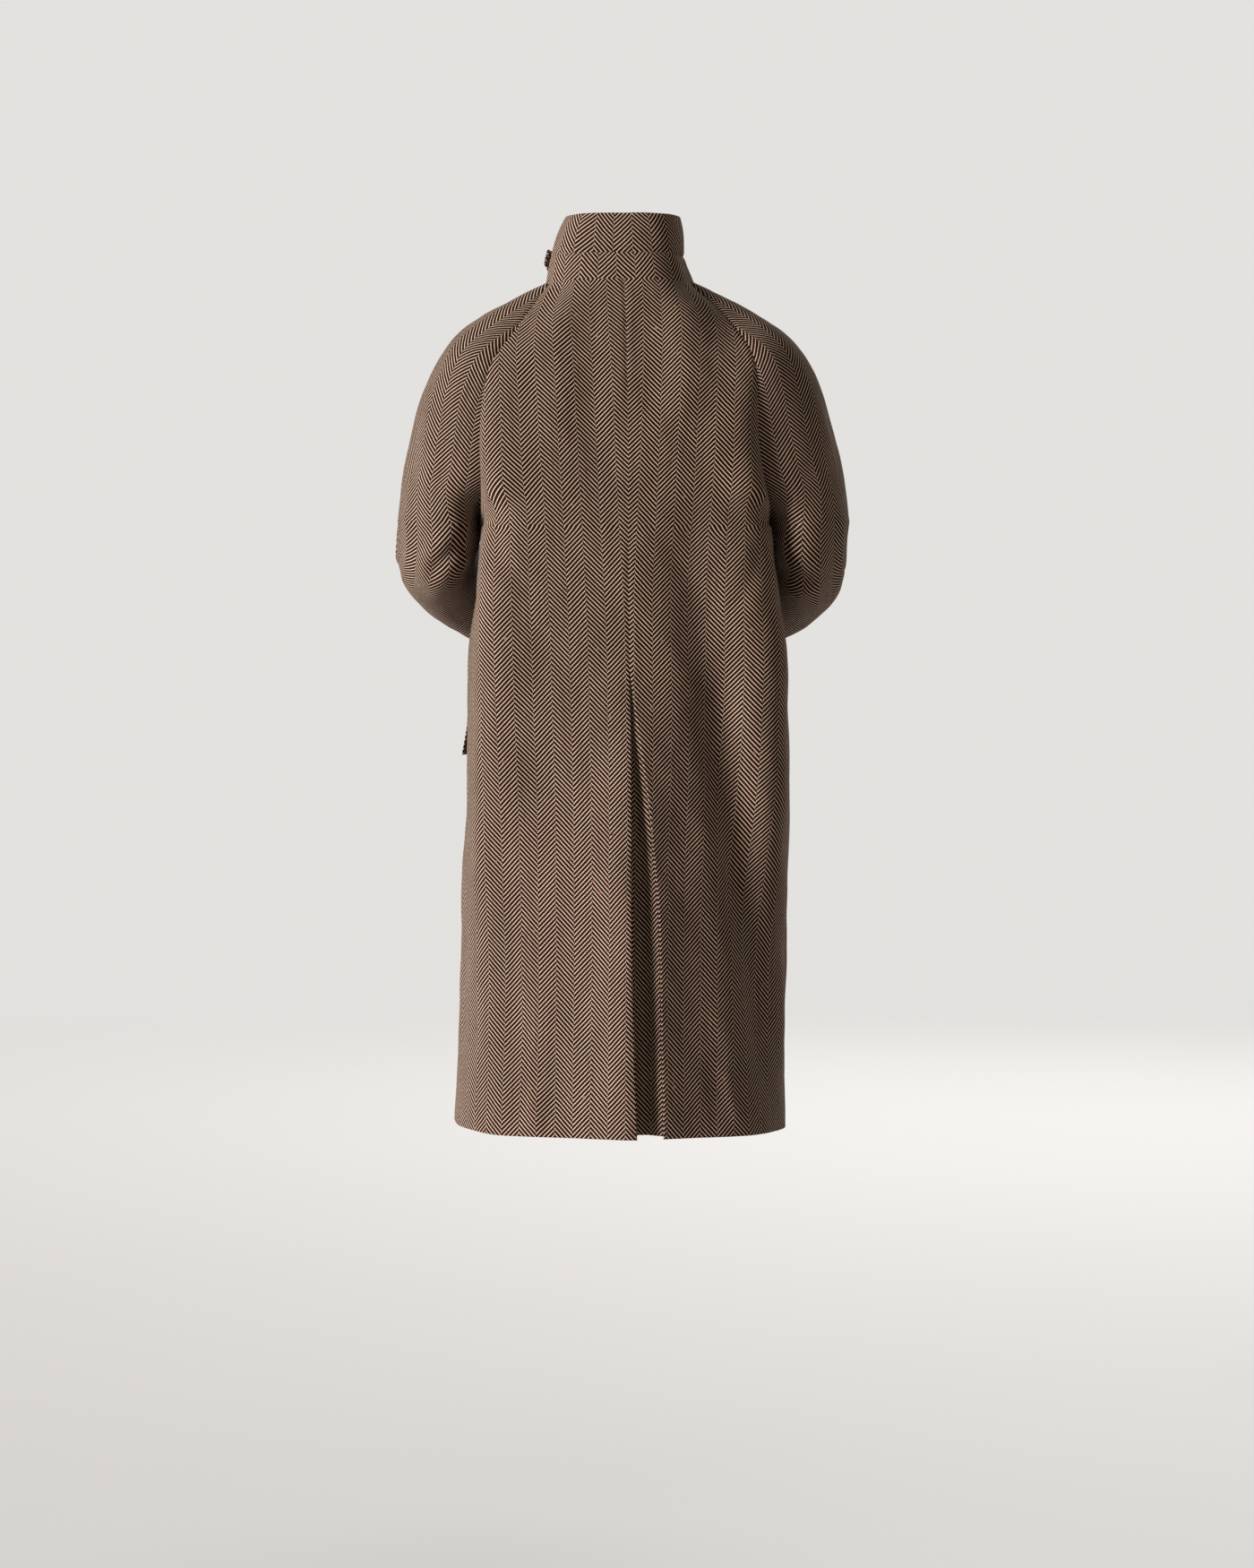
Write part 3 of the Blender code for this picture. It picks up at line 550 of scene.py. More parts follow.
def lengths_of(points, axis=0):
    """Length up to each point, along a line of points or along one axis of a grid."""
    steps = np.cumsum(np.linalg.norm(np.diff(points, axis=axis), axis=-1), axis=axis)
    return np.concatenate([np.zeros_like(np.take(steps, [0], axis)), steps], axis=axis)


def arm_section(phi, turn, reach, outward, share, hand):
    """Points round the arm about its middle, the inner hind side filled out towards the body."""
    inner = np.where(phi < 0, np.sin(math.pi * phi / turn) ** 2, 0)
    under = np.cos(math.pi / 2 * phi / turn) ** 4
    hind = np.where(phi < 0, under, np.cos(np.minimum(phi, math.pi / 2)) ** 2)
    fill = 1 + SLEEVE_FILL[hand] * share * inner
    lean = SLEEVE_LEAN[hand] * share * hind * unit(outward)
    return fill * (outward * np.sin(phi) - reach * np.cos(phi)) - lean


def shoulder_ring(along, hand):
    """Sleeve part of a shoulder ring from the back raglan seam over the arm to the front one."""
    row = row_at(YOKE, along)
    turn = math.radians(row.turn)
    narrow = max(math.cos(turn), NARROWEST)
    over = np.array([row.over_x, 0, -row.over_drop])
    seam = np.array([row.seam_x + hand * row.lean, 0, -row.seam_drop])
    reach = np.array([row.skew_x / 2 / narrow, -row.depth, -row.skew_drop / 2 / narrow])
    rise = (over - seam) / (1 + math.sin(turn))
    middle = seam + rise * math.sin(turn)
    phi = np.linspace(-turn, math.pi + turn, 2 * CURVE_POINTS - 1)[:, None]
    points = middle + arm_section(phi, turn, reach, rise, math.sin(turn) ** 2, hand)
    points[:, 0] = hand * points[:, 0] + row_at(BODY, row.seam_drop).sway
    return points


def half_row(centre, side, arriving, square):
    """Curve from a centre line to a seam, level at the centre and arriving in a given direction."""
    span = np.linalg.norm(side - centre)
    depth = abs(centre[1] - side[1]) / max(abs(arriving[1]), STEEPEST)
    first = centre + np.array([ROUND_CENTRE * (side[0] - centre[0]), 0, 0])
    last = side - min(square * depth, ROUND_SPAN * span) * arriving
    last[2] = side[2] + SEAM_LEVEL * (centre[2] - side[2])
    t = np.linspace(0, 1, CURVE_POINTS)[:, None]
    return (
        (1 - t) ** 3 * centre
        + 3 * (1 - t) ** 2 * t * first
        + 3 * (1 - t) * t**2 * last
        + t**3 * side
    )


def folded(points, folds, leftward):
    """A row of the body moved in and out by its folds."""
    lengths = lengths_of(points)
    across = (lengths - lengths[CURVE_POINTS - 1]) * leftward
    tangent = unit(np.gradient(points, axis=0))
    outward = unit(np.cross(tangent, (0, 0, -1)))
    shift = np.zeros(len(points))
    for fold in folds:
        drop = -points[:, 2] - fold.drop
        place = (across - fold.across - fold.lean * drop) / fold.width
        shift += fold.depth * np.exp(-(place**2)) * np.exp(-((drop / fold.reach) ** 4))
    edge = np.minimum(lengths, lengths[-1] - lengths)
    return points + outward * (shift * ease(0.0, FOLD_CLEAR, edge))[:, None]


def body_rows(back_centre, front_centre, sides, square):
    """Back row from right to left and front row from left to right, with their folds."""
    back = {hand: half_row(back_centre, *sides[hand, "back"], square) for hand in (1, -1)}
    front = {hand: half_row(front_centre, *sides[hand, "front"], square) for hand in (1, -1)}
    back_row = np.vstack([back[-1][::-1], back[1][1:]])
    front_row = np.vstack([front[1][::-1], front[-1][1:]])
    return folded(back_row, BACK_FOLDS, 1), folded(front_row, FRONT_FOLDS, -1)


def closed_ring(**parts):
    """Lines of points joined end to end, with the lengths at which each starts and ends."""
    points = []
    marks = {}
    for name, line in parts.items():
        start = len(points)
        points.extend(line if not points else line[1:])
        marks[name] = (max(start - 1, 0), len(points) - 1)
    points = np.array(points)
    lengths = lengths_of(points)
    return Ring(points, lengths, {name: lengths[list(ends)] for name, ends in marks.items()})


def yoke_ring(along):
    """Whole ring round the shoulders."""
    row = row_at(YOKE, along)
    sleeves = {hand: shoulder_ring(along, hand) for hand in (1, -1)}
    settle = ease(*YOKE_SETTLES, along)
    sides = {}
    for hand, sleeve in sleeves.items():
        for face, end, near, depth in (("back", 0, 1, -1), ("front", -1, -2, 1)):
            into = unit((sleeve[near] - sleeve[end]) * (1, 1, 0))
            arriving = unit((1 - settle) * into + settle * np.array([0, depth, 0]))
            sides[hand, face] = (sleeve[end], arriving)
    body = row_at(BODY, row.seam_drop)
    back_y = row_at(CENTRES, row.back_drop).back
    front_y = row_at(CENTRES, row.front_drop).front
    back, front = body_rows(
        np.array([CENTRE_SWAY * body.sway, back_y, -row.back_drop]),
        np.array([body.sway, front_y, -row.front_drop]),
        sides,
        body.square,
    )
    return closed_ring(back=back, left=sleeves[1], front=front, right=sleeves[-1][::-1])


def body_ring(drop):
    """Ring round the body below the underarms."""
    row = row_at(BODY, drop)
    centre = row_at(CENTRES, drop)
    sides = {}
    for hand in (1, -1):
        point = np.array([row.sway + hand * row.half_width, row.side_y, -drop])
        sides[hand, "back"] = (point, np.array([0, -1, 0]))
        sides[hand, "front"] = (point, np.array([0, 1, 0]))
    back, front = body_rows(
        np.array([CENTRE_SWAY * row.sway, centre.back, -drop]),
        np.array([row.sway, centre.front, -drop]),
        sides,
        row.square,
    )
    ring = closed_ring(back=back, front=front)
    across = ring.points[:, 0]
    lift = HEM_TILT * np.minimum(across, 0) + HEM_LIFT * ease(*HEM_LIFTS, across)
    ring.points[:, 2] += lift * ease(HEM_TILTS_FROM, HEM_DROP, drop)
    return ring


def arm_lines(along):
    """Back and front points of the sleeve's ring and its half width."""
    row = row_at(ARM, along)
    back = np.array([row.back_x, row.back_y, -row.back_drop])
    front = np.array([row.front_x, row.front_y, -row.front_drop])
    return back, front, row.half_width


def arm_line(along, hand):
    """Points round the sleeve below the underarm, from the hind-arm seam over the arm."""
    back, front, half_width = arm_lines(along)
    middle = (back + front) / 2
    upper = max(along, ARM_STEP)
    way = sum(arm_lines(upper)[:2]) - sum(arm_lines(upper - ARM_STEP)[:2])
    reach = (front - back) / 2
    outward = unit(np.cross(reach, way))
    middle[2] += ARM_RAISE[hand] * ease(*ARM_RAISES, along)
    phi = np.linspace(-math.pi / 2, math.pi * 1.5, 2 * CURVE_POINTS - 1)[:, None]
    share = 1 - ease(*ARM_SLIMS, along)
    points = middle + arm_section(phi, math.pi / 2, reach, outward * half_width, share, hand)
    points[:, 0] = hand * points[:, 0] + row_at(BODY, UNDERARM_DROP).sway
    return points


def arm_rings(hand, places):
    """Rings of the sleeve below the underarm, running on from the last shoulder ring."""
    left_over = shoulder_ring(1.0, hand) - arm_line(0.0, hand)
    rings = []
    for along in places:
        points = arm_line(along, hand) + left_over * (1 - ease(*ARM_PARTS, along))
        rings.append(closed_ring(sleeve=points if hand > 0 else points[::-1]))
    return rings


def middle_of(ring, name):
    """Length at the middle point of a part: a centre line or the top of the arm."""
    start, end = np.searchsorted(ring.lengths, ring.marks[name] - 1e-9)
    return ring.lengths[(start + end) // 2]


def read_ring(ring, at):
    """Points on a ring, which is closed, at given lengths."""
    at = np.mod(at, ring.lengths[-1])
    return np.stack([np.interp(at, ring.lengths, ring.points[:, k]) for k in range(3)], axis=-1)


def ring_tangent(ring, at, start, end):
    """Direction along a ring, taken across a seam where the cloth runs on smoothly."""
    here = read_ring(ring, at)
    ahead = unit(read_ring(ring, at + TANGENT_STEP) - here)
    behind = unit(here - read_ring(ring, at - TANGENT_STEP))
    own = np.where(((at - start) < (end - at))[:, None], ahead, behind)
    smooth = ease(0.2, 0.7, np.sum(ahead * behind, axis=1))[:, None]
    return unit(smooth * (ahead + behind) / 2 + (1 - smooth) * own)


def spread(length, step):
    """Places from 0 to 1 along a length, closer together at both ends."""
    middle = np.linspace(EDGE_CLEAR, length - EDGE_CLEAR, int((length - 2 * EDGE_CLEAR) / step) + 2)
    near = np.array(EDGE_PLACES)
    return np.concatenate([near, middle, length - near[::-1]]) / length


def steps_along(points, field, axis):
    """Length along a field of directions from the first point of each line of a grid."""
    count = field.shape[axis]
    middle = (np.take(field, range(1, count), axis) + np.take(field, range(count - 1), axis)) / 2
    steps = np.cumsum(np.sum(np.diff(points, axis=axis) * middle, axis=2), axis=axis)
    return np.concatenate([np.zeros_like(np.take(steps, [0], axis)), steps], axis=axis)


def best_lengths(points, field, hold, lead=None):
    """Numbers on a grid that grow along a field of directions, most evenly in columns that hold most.

    With lead, whole rows step alike, by the columns that lead.
    """
    rows, columns = points.shape[:2]
    pick_rows = np.unique(np.round(np.linspace(0, rows - 1, WEAVE_ROWS)).astype(int))
    pick_columns = np.unique(np.round(np.linspace(0, columns - 1, WEAVE_COLUMNS)).astype(int))
    index = np.arange(len(pick_rows) * len(pick_columns)).reshape(len(pick_rows), -1)
    pick = np.ix_(pick_rows, pick_columns)
    near = points[pick]
    matrix = np.zeros((index.size, index.size))
    right = np.zeros(index.size)
    for axis in (0, 1):
        gain = np.diff(steps_along(points, field, axis)[pick], axis=axis)
        span = np.linalg.norm(np.diff(near, axis=axis), axis=2)
        if lead is not None and axis == 0:
            gain = np.average(gain, axis=1, weights=lead[pick_columns])[:, None] + 0 * gain
            span = span.mean(axis=1, keepdims=True) + 0 * span
        held = hold[pick_columns] if axis == 0 else (hold[pick_columns][1:] + hold[pick_columns][:-1]) / 2
        weight = (held / np.maximum(span, 1e-6)).ravel()
        first = np.take(index, range(index.shape[axis] - 1), axis).ravel()
        second = np.take(index, range(1, index.shape[axis]), axis).ravel()
        np.add.at(matrix, (first, first), weight)
        np.add.at(matrix, (second, second), weight)
        np.add.at(matrix, (first, second), -weight)
        np.add.at(matrix, (second, first), -weight)
        np.add.at(right, first, -weight * gain.ravel())
        np.add.at(right, second, weight * gain.ravel())
    # Only differences are known, so the first number is held
    matrix[0, 0] += 1.0
    found = np.linalg.solve(matrix, right).reshape(index.shape)
    down = lengths_of(points.mean(axis=1))
    across = lengths_of(points.mean(axis=0))
    found = through(down[pick_rows], found, down)
    return through(across[pick_columns], found.T, across).T


def weave(points, normals, grain, hold=None, lead=None):
    """Lengths across the cloth, growing with its columns, and down it along a grain direction."""
    hold = np.ones(points.shape[1]) if hold is None else hold
    grain = np.broadcast_to(grain, points.shape)
    grain = unit(grain - normals * np.sum(grain * normals, axis=2, keepdims=True))
    aside = np.cross(grain, normals)
    aside = aside * np.sign(np.sum(aside * np.gradient(points, axis=1)))
    return best_lengths(points, aside, hold), best_lengths(points, grain, hold, lead)


def smoothed(points, joint):
    """Grid with its rows eased in and out either side of one row, except along its two side edges."""
    rows = np.arange(len(points))
    side = lengths_of(points[joint])
    edge = ease(0.0, JOINT_CLEAR, np.minimum(side, side[-1] - side))
    reach = int(JOINT_REACH / STEP)
    near = 1 - ease(JOINT_CORE, 1.0, np.abs(rows - joint) / reach)
    share = near[:, None, None] * edge[None, :, None]
    outward = unit(np.cross(np.gradient(points, axis=1), np.gradient(points, axis=0)))
    for _ in range(JOINT_PASSES):
        middle = points.copy()
        middle[1:-1] = (points[:-2] + points[2:]) / 2
        move = ((middle - points) * outward).sum(axis=2, keepdims=True)
        points = points + JOINT_PULL * share * move * outward
    return points


def panel(rows, places, grain=(0.0, 0.0, -1.0), joint=None, hold=None, lead=None):
    """Grid on a panel from rows of (ring, start, end, grain line): across is from that line."""
    points = []
    tangents = []
    across = []
    for ring, start, end, line in rows:
        at = start + (end - start) * places
        points.append(read_ring(ring, at))
        tangents.append(ring_tangent(ring, at, start, end))
        across.append(at - line)
    points = np.array(points)
    if joint is not None:
        points = smoothed(points, joint)
    across = np.array(across)
    normals = unit(np.cross(np.array(tangents), np.gradient(points, axis=0)))
    if grain is None:
        mean_way = np.average(np.gradient(points, axis=0), axis=1, weights=lead)[:, None]
        even, down = weave(points, normals, mean_way, hold, lead)
    else:
        even, down = weave(points, normals, grain)
    edge = 0 if abs(across[-1, 0]) < abs(across[-1, -1]) else -1
    off = across[:, [edge]] - even[:, [edge]]
    if grain is None:
        off = np.median(off)
    return Grid(points, normals, np.abs(even + off), down)


def vent_at(drop):
    """Vent row, shut above the top of the vent."""
    return row_at(VENT, max(drop, VENT_TOP))


def body_panels(rings):
    """Back and front panels."""
    rows = {"back_left": [], "back_right": [], "front_left": [], "front_right": []}
    for ring, drop in rings:
        vent = vent_at(drop)
        back = middle_of(ring, "back")
        front = middle_of(ring, "front")
        back_start, back_end = ring.marks["back"]
        front_start, front_end = ring.marks["front"]
        edge = back + vent.edge + SEAM_TRIM
        ridge = back + vent.ridge - SEAM_TRIM
        rows["back_left"].append((ring, edge, back_end - SEAM_TRIM, back - GRAIN_ASIDE))
        rows["back_right"].append((ring, back_start + SEAM_TRIM, ridge, back + GRAIN_ASIDE))
        rows["front_left"].append((ring, front_start + SEAM_TRIM, front + FRONT_LAP, front + GRAIN_ASIDE))
        rows["front_right"].append((ring, front - LAP_TUCK, front_end - SEAM_TRIM, front - GRAIN_ASIDE))
    places = spread(BODY_SPAN, STEP)
    joint = sum(drop == 0.0 for _, drop in rings) - 1
    grids = {name: panel(spans, places, joint=joint) for name, spans in rows.items()}
    grids["front_right"] = tucked_front(grids["front_right"])
    return grids


def tucked_front(grid):
    """Right front, which passes under the left one."""
    past = lengths_of(grid.points, 1) - LAP_TUCK - FRONT_LAP
    depth = (CLOTH + 2 * LAID_GAP) * (1 - ease(*LAP_EASES, past))
    return grid._replace(points=grid.points - grid.normals * depth[:, :, None])


def underlap_grid():
    """Strip that runs on from the right back panel at the vent and laps under the left one."""
    spans = []
    depths = []
    seat = CLOTH + LAID_GAP
    places = spread(UNDERLAP_REACH * 2, STEP / 2)
    length = HEM_DROP - VENT_TOP
    for drop in VENT_TOP + (length - UNDERLAP_SHORT) * spread(length, STEP):
        vent = vent_at(drop)
        ring = body_ring(drop)
        back = middle_of(ring, "back")
        start = vent.ridge - UNDERLAP_TUCK
        end = vent.edge + UNDERLAP_REACH
        spans.append((ring, back + start, back + end, back + GRAIN_ASIDE))
        across = start + (end - start) * places
        foot = min(vent.ridge + UNDERLAP_FALL, vent.edge + UNDERLAP_EDGE_CLEAR)
        sink = ease(vent.ridge, foot, across)
        rest = 1 - UNDERLAP_RISE * ease(vent.edge, end, across)
        depths.append(seat + (vent.depth - seat) * sink * rest)
    grid = panel(spans, places)
    points = grid.points - grid.normals * np.array(depths)[:, :, None]
    return grid._replace(points=points, across=grid.across[:, :1] - lengths_of(points, 1))


def sleeve_panels(rings, hand):
    """Two halves of a sleeve."""
    name = "left" if hand > 0 else "right"
    first = []
    second = []
    arm = arm_rings(hand, spread(ARM_SPAN, STEP)[1:])
    for part, ring in [(name, ring) for ring, _ in rings] + [("sleeve", ring) for ring in arm]:
        start, end = ring.marks[part]
        over = middle_of(ring, part)
        first.append((ring, start + SEAM_TRIM, over - SEAM_TRIM, over + SLEEVE_GRAIN))
        second.append((ring, over + SEAM_TRIM, end - SEAM_TRIM, over - SLEEVE_GRAIN))
    back, front = (first, second) if hand > 0 else (second, first)
    places = spread(SLEEVE_SPAN, STEP)
    from_seam = places if hand > 0 else 1 - places
    hold = 1 + BEND_HOLD * np.sin(math.pi * places) ** 4
    return {
        f"sleeve_{name}_back": panel(back, places, None, hold=hold),
        f"sleeve_{name}_front": panel(front, places, None, lead=(1 - from_seam) ** 2),
    }


def collar_points(neck, around, level):
    """Points on the collar; around is the length from the right front end along the neck seam."""
    base = read_ring(neck, middle_of(neck, "front") + around)
    middle = np.array([row_at(BODY, 0).sway, 0])
    angle = np.arctan2(base[:, 0] - middle[0], base[:, 1] - middle[1])
    forward = np.maximum(-np.cos(angle), 0) ** COLLAR_FORWARD
    rings = [base]
    for row in COLLAR:
        wide = np.where(np.sin(angle) > 0, row.left, row.right) / YOKE[0].over_x
        deep = np.where(np.cos(angle) > 0, row.back / CENTRES[0].back, row.front / -CENTRES[1].front)
        ring = base.copy()
        ring[:, 0] = middle[0] + wide * (base[:, 0] - middle[0])
        ring[:, 1] = middle[1] + deep * (base[:, 1] - middle[1])
        ring[:, 2] = row.rise_back + (row.rise_front - YOKE[0].front_drop - row.rise_back) * forward
        rings.append(ring)
    level = np.broadcast_to(level, around.shape)
    lower = np.minimum(level.astype(int), 1)
    part = (level - lower)[:, None]
    stack = np.array(rings)
    pick = np.arange(len(around))
    bow = np.where(lower == 1, FALL_BOW * np.sin(math.pi * part[:, 0]), 0)
    outward = np.stack([np.sin(angle), np.cos(angle), 0 * angle], axis=-1)
    flat = stack[lower, pick] * (1 - part) + stack[lower + 1, pick] * part
    return flat + outward * bow[:, None]


def grid_of(points, zero):
    """Grid from points alone, with its grain line at one column."""
    down = np.gradient(points, axis=0)
    normals = unit(np.cross(np.gradient(points, axis=1), down))
    across, down = weave(points, normals, down)
    return Grid(points, normals, across - across[:, [zero]], down)


def collar_grids(neck):
    """Stand and fall of the collar, from top to bottom."""
    whole = neck.lengths[-1]
    stand = COLLAR[0].rise_back
    fall = COLLAR[1].rise_back - stand
    grids = {}
    for name, low, high, end_low, end_high, tall in (
        ("collar_stand", STAND_LOW, 1 - COLLAR_SEAM, COLLAR_END, COLLAR_END, stand),
        ("collar_fall", 1 + COLLAR_SEAM, 2.0, FALL_END_LOW, FALL_END_HIGH, fall),
    ):
        lines = []
        for part in 1 - spread(tall, STEP / 2):
            end = end_low + (end_high - end_low) * part
            around = end + (whole - 2 * end) * spread(whole, STEP / 1.6)
            lines.append(collar_points(neck, around, low + (high - low) * part))
        grids[name] = grid_of(np.array(lines), len(lines[0]) // 2)
    return grids


def tab_grid(neck):
    """Tab across the collar seam, its hind end standing off."""
    whole = neck.lengths[-1]
    lines = []
    stand = COLLAR[0].rise_back
    fall = COLLAR[1].rise_back - stand
    along = TAB_START + TAB_LENGTH * (1 - spread(TAB_LENGTH, STEP / 3))
    end = TAB_START + TAB_LENGTH
    tip = ease(end - TAB_TIP, end, along)
    half = TAB_HALF_HEIGHT + (TAB_END_HALF_HEIGHT - TAB_HALF_HEIGHT) * tip
    for part in 1 - 2 * spread(TAB_HALF_HEIGHT * 2, STEP / 3):
        offset = part * half
        level = 1 + np.where(offset > 0, offset / fall, offset / stand)
        lines.append(collar_points(neck, whole - along, level))
    grid = grid_of(np.array(lines), 0)
    left = end - along
    wall = CLOTH + TAB_END_SWELL * (1 - ease(*TAB_SWELLS, left))
    lift = LAID_GAP + wall + TAB_LIFT * np.clip(1 - left / TAB_LOOSE, 0, 1) ** 2
    return grid_of(grid.points + grid.normals * lift[None, :, None], 0), wall


def flap_grid(hand):
    """Pocket flap laid on a front panel, standing off towards its lower hind corner."""
    spans = []
    rows = spread(FLAP_HEIGHT, STEP / 2)
    for drop in FLAP_TOP_DROP + FLAP_HEIGHT * rows:
        ring = body_ring(drop)
        front = middle_of(ring, "front")
        ends = sorted((front - hand * FLAP_INNER, front - hand * FLAP_OUTER))
        spans.append((ring, *ends, front + hand * GRAIN_ASIDE))
    places = spread(FLAP_OUTER - FLAP_INNER, STEP / 2)
    grid = panel(spans, places)
    down = rows[:, None]
    hind = 1 - places[None, :] if hand > 0 else places[None, :]
    flare = FLAP_FLARES[hand] * ease(*FLAP_STANDS_OFF, down)
    lift = FLAP_SEAT + CLOTH + flare * (FLAP_EVEN + FLAP_HIND * hind**3)
    return grid._replace(points=grid.points + grid.normals * lift[:, :, None])


def crease_form(crease, across, drop):
    """Height of one crease at places across and down its face."""
    start = np.array([crease.from_across, crease.from_drop])
    way = np.array([crease.to_across, crease.to_drop]) - start
    length = np.linalg.norm(way)
    way = way / length
    along = ((across - start[0]) * way[0] + (drop - start[1]) * way[1]) / length
    aside = (across - start[0]) * way[1] - (drop - start[1]) * way[0]
    aside = (aside - 4 * crease.bow * along * (1 - along)) / crease.width
    taper = ease(0.0, CREASE_TAPER, along) * (1 - ease(1 - CREASE_TAPER, 1.0, along))
    rim = CREASE_RIM * np.exp(-((np.abs(aside) - CREASE_RIM_PLACE) ** 2))
    return crease.depth * taper * (np.exp(-(aside**2)) - rim)


def crease_shift(points, normals):
    """How far creases and the uneven hand of the cloth move each point out."""
    shift = np.zeros(points.shape[:2])
    for wave in WAVES:
        turn = points[..., 0] / wave.x + points[..., 1] / wave.y + points[..., 2] / wave.z
        shift += wave.height * np.sin(2 * math.pi * turn + wave.phase)
    for face, creases in CREASES.items():
        direction, side = FACES[face]
        facing = ease(*CREASE_FACES, normals @ np.array(direction, dtype=float))
        if side:
            facing = facing * (points[..., 0] * direction[0] * side > 0)
        across = points[..., 1] if side else points[..., 0]
        for crease in creases:
            shift += facing * crease_form(crease, across, -points[..., 2])
    return shift


def edge_lengths(points):
    """Distance of each point of a grid from its start, end, top and bottom edges."""
    side = lengths_of(points, 1)
    down = lengths_of(points, 0)
    return {"start": side, "end": side[:, -1:] - side, "top": down, "bottom": down[-1:] - down}


def rounding(distance):
    """How far a free edge turns in, as a quarter round."""
    part = np.clip(1 - distance / EDGE_ROUND, 0, 1)
    return EDGE_ROUND * EDGE_FLAT * (1 - np.sqrt(1 - part**2))


def edge_shift(grid, edges):
    """Moves at the edges, in at a seam and round if free, and how freely creases run there."""
    outer = np.zeros(grid.points.shape[:2])
    inner = np.zeros(grid.points.shape[:2])
    loose = np.ones(grid.points.shape[:2])
    drop = -grid.points[..., 2]
    groove = ease(*GROOVE_COMES, drop) * (1 - ease(*GROOVE_GOES, drop))
    groove = groove * (1 - ease(*GROOVE_ACROSS, np.abs(grid.points[..., 0])))
    below = ease(VENT_TOP - VENT_OPENS, VENT_TOP + VENT_OPENS, drop)
    free_shares = {"free": 1.0, "seam": 0.0, "vent": below, "plain": 0.0}
    sewn_shares = {"free": 0.0, "seam": 1.0, "vent": 1 - below, "plain": 0.0}
    for side, distance in edge_lengths(grid.points).items():
        free = free_shares[edges[side]]
        sewn = sewn_shares[edges[side]]
        near = 1 - ease(0, SEAM_REACH, distance)
        swell = np.exp(-(((distance - SEAM_SWELL_PLACE * SEAM_REACH) / SEAM_REACH) ** 2))
        dent = SEAM_SWELL * swell - SEAM_DEPTH * near
        outer += sewn * (1 - groove) * dent - free * rounding(distance)
        inner += free * rounding(distance)
        loose *= 1 - sewn * groove * (1 - ease(0.0, GROOVE_HOLD, distance))
    return outer, inner, loose


def mesh_of(name, outer, inner, coordinates, lined):
    """Closed wall of cloth between two grids, with weave coordinates; lined marks inner faces."""
    rows, columns = outer.shape[:2]
    count = rows * columns
    index = np.arange(count).reshape(rows, columns)
    a, b, d, e = index[:-1, :-1], index[:-1, 1:], index[1:, :-1], index[1:, 1:]
    front = np.stack([a, b, e, d], axis=-1).reshape(-1, 4)
    back = np.stack([a, d, e, b], axis=-1).reshape(-1, 4) + count
    edge = np.concatenate([index[0, :-1], index[:-1, -1], index[-1, :0:-1], index[:0:-1, 0]])
    following = np.roll(edge, -1)
    rim = np.stack([edge, edge + count, following + count, following], axis=-1)
    faces = np.vstack([front, back, rim])
    mesh = bpy.data.meshes.new(name)
    mesh.from_pydata(np.vstack([outer.reshape(-1, 3), inner.reshape(-1, 3)]).tolist(), [], faces.tolist())
    layer = mesh.uv_layers.new(name="weave")
    loops = np.empty(len(mesh.loops), dtype=np.int32)
    mesh.loops.foreach_get("vertex_index", loops)
    layer.data.foreach_set("uv", coordinates.reshape(-1, 2)[loops % count].astype(np.float32).ravel())
    slots = np.zeros(len(faces), dtype=np.int32)
    slots[len(front) : len(front) + len(back)] = lined.reshape(-1)
    mesh.polygons.foreach_set("material_index", slots)
    mesh.polygons.foreach_set("use_smooth", np.ones(len(faces), dtype=bool))
    mesh.update()
    mesh.set_sharp_from_angle(angle=math.radians(CLOTH_CORNER))
    return mesh


def link(name, mesh, slot, *materials):
    """Piece that rides on the coat's one body."""
    for made in materials:
        mesh.materials.append(made)
    piece = bpy.data.objects.new(name, mesh)
    bpy.context.scene.collection.objects.link(piece)
    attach(piece, "root")
    return piece


def cloth(node, grid, wall, edges, shift, facing):
    """Cloth piece that stands for a node, with creases, worked edges and its own weave."""
    outer_move, inner_move, loose = edge_shift(grid, edges)
    crease = crease_shift(grid.points, grid.normals) * loose
    moved = grid.points + grid.normals * crease[:, :, None]
    outer = moved + grid.normals * outer_move[:, :, None]
    inner = moved + grid.normals * (inner_move - wall)[:, :, None]
    coordinates = np.stack([grid.across - shift, grid.down], axis=-1)
    distance = edge_lengths(grid.points)
    lined = np.ones(grid.points.shape[:2], dtype=bool)
    for side, reach in facing.items():
        lined &= distance[side] > reach
    lined = lined[:-1, :-1] if facing else np.zeros(np.array(lined.shape) - 1, dtype=bool)
    mesh = mesh_of(f"cloth_{node}", outer, inner, coordinates, lined)
    piece = link(f"cloth_{node}", mesh, "tweed", MATERIALS["tweed"], MATERIALS["lining"])
    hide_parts(node)
    return piece


def put(tree, socket, value):
    """Links a socket to another, or sets its value."""
    if isinstance(value, bpy.types.NodeSocket):
        tree.links.new(value, socket)
    else:
        socket.default_value = value


def calc(tree, operation, *values):
    """Result of one arithmetic step."""
    made = tree.nodes.new("ShaderNodeMath")
    made.operation = operation
    for place, value in enumerate(values):
        put(tree, made.inputs[place], value)
    return made.outputs[0]


def remap(tree, value, low, high, to_low=0.0, to_high=1.0, soft=True):
    """Value moved from one range to another."""
    made = tree.nodes.new("ShaderNodeMapRange")
    made.interpolation_type = "SMOOTHSTEP" if soft else "LINEAR"
    for name, number in (
        ("Value", value),
        ("From Min", low),
        ("From Max", high),
        ("To Min", to_low),
        ("To Max", to_high),
    ):
        put(tree, made.inputs[name], number)
    return made.outputs[0]


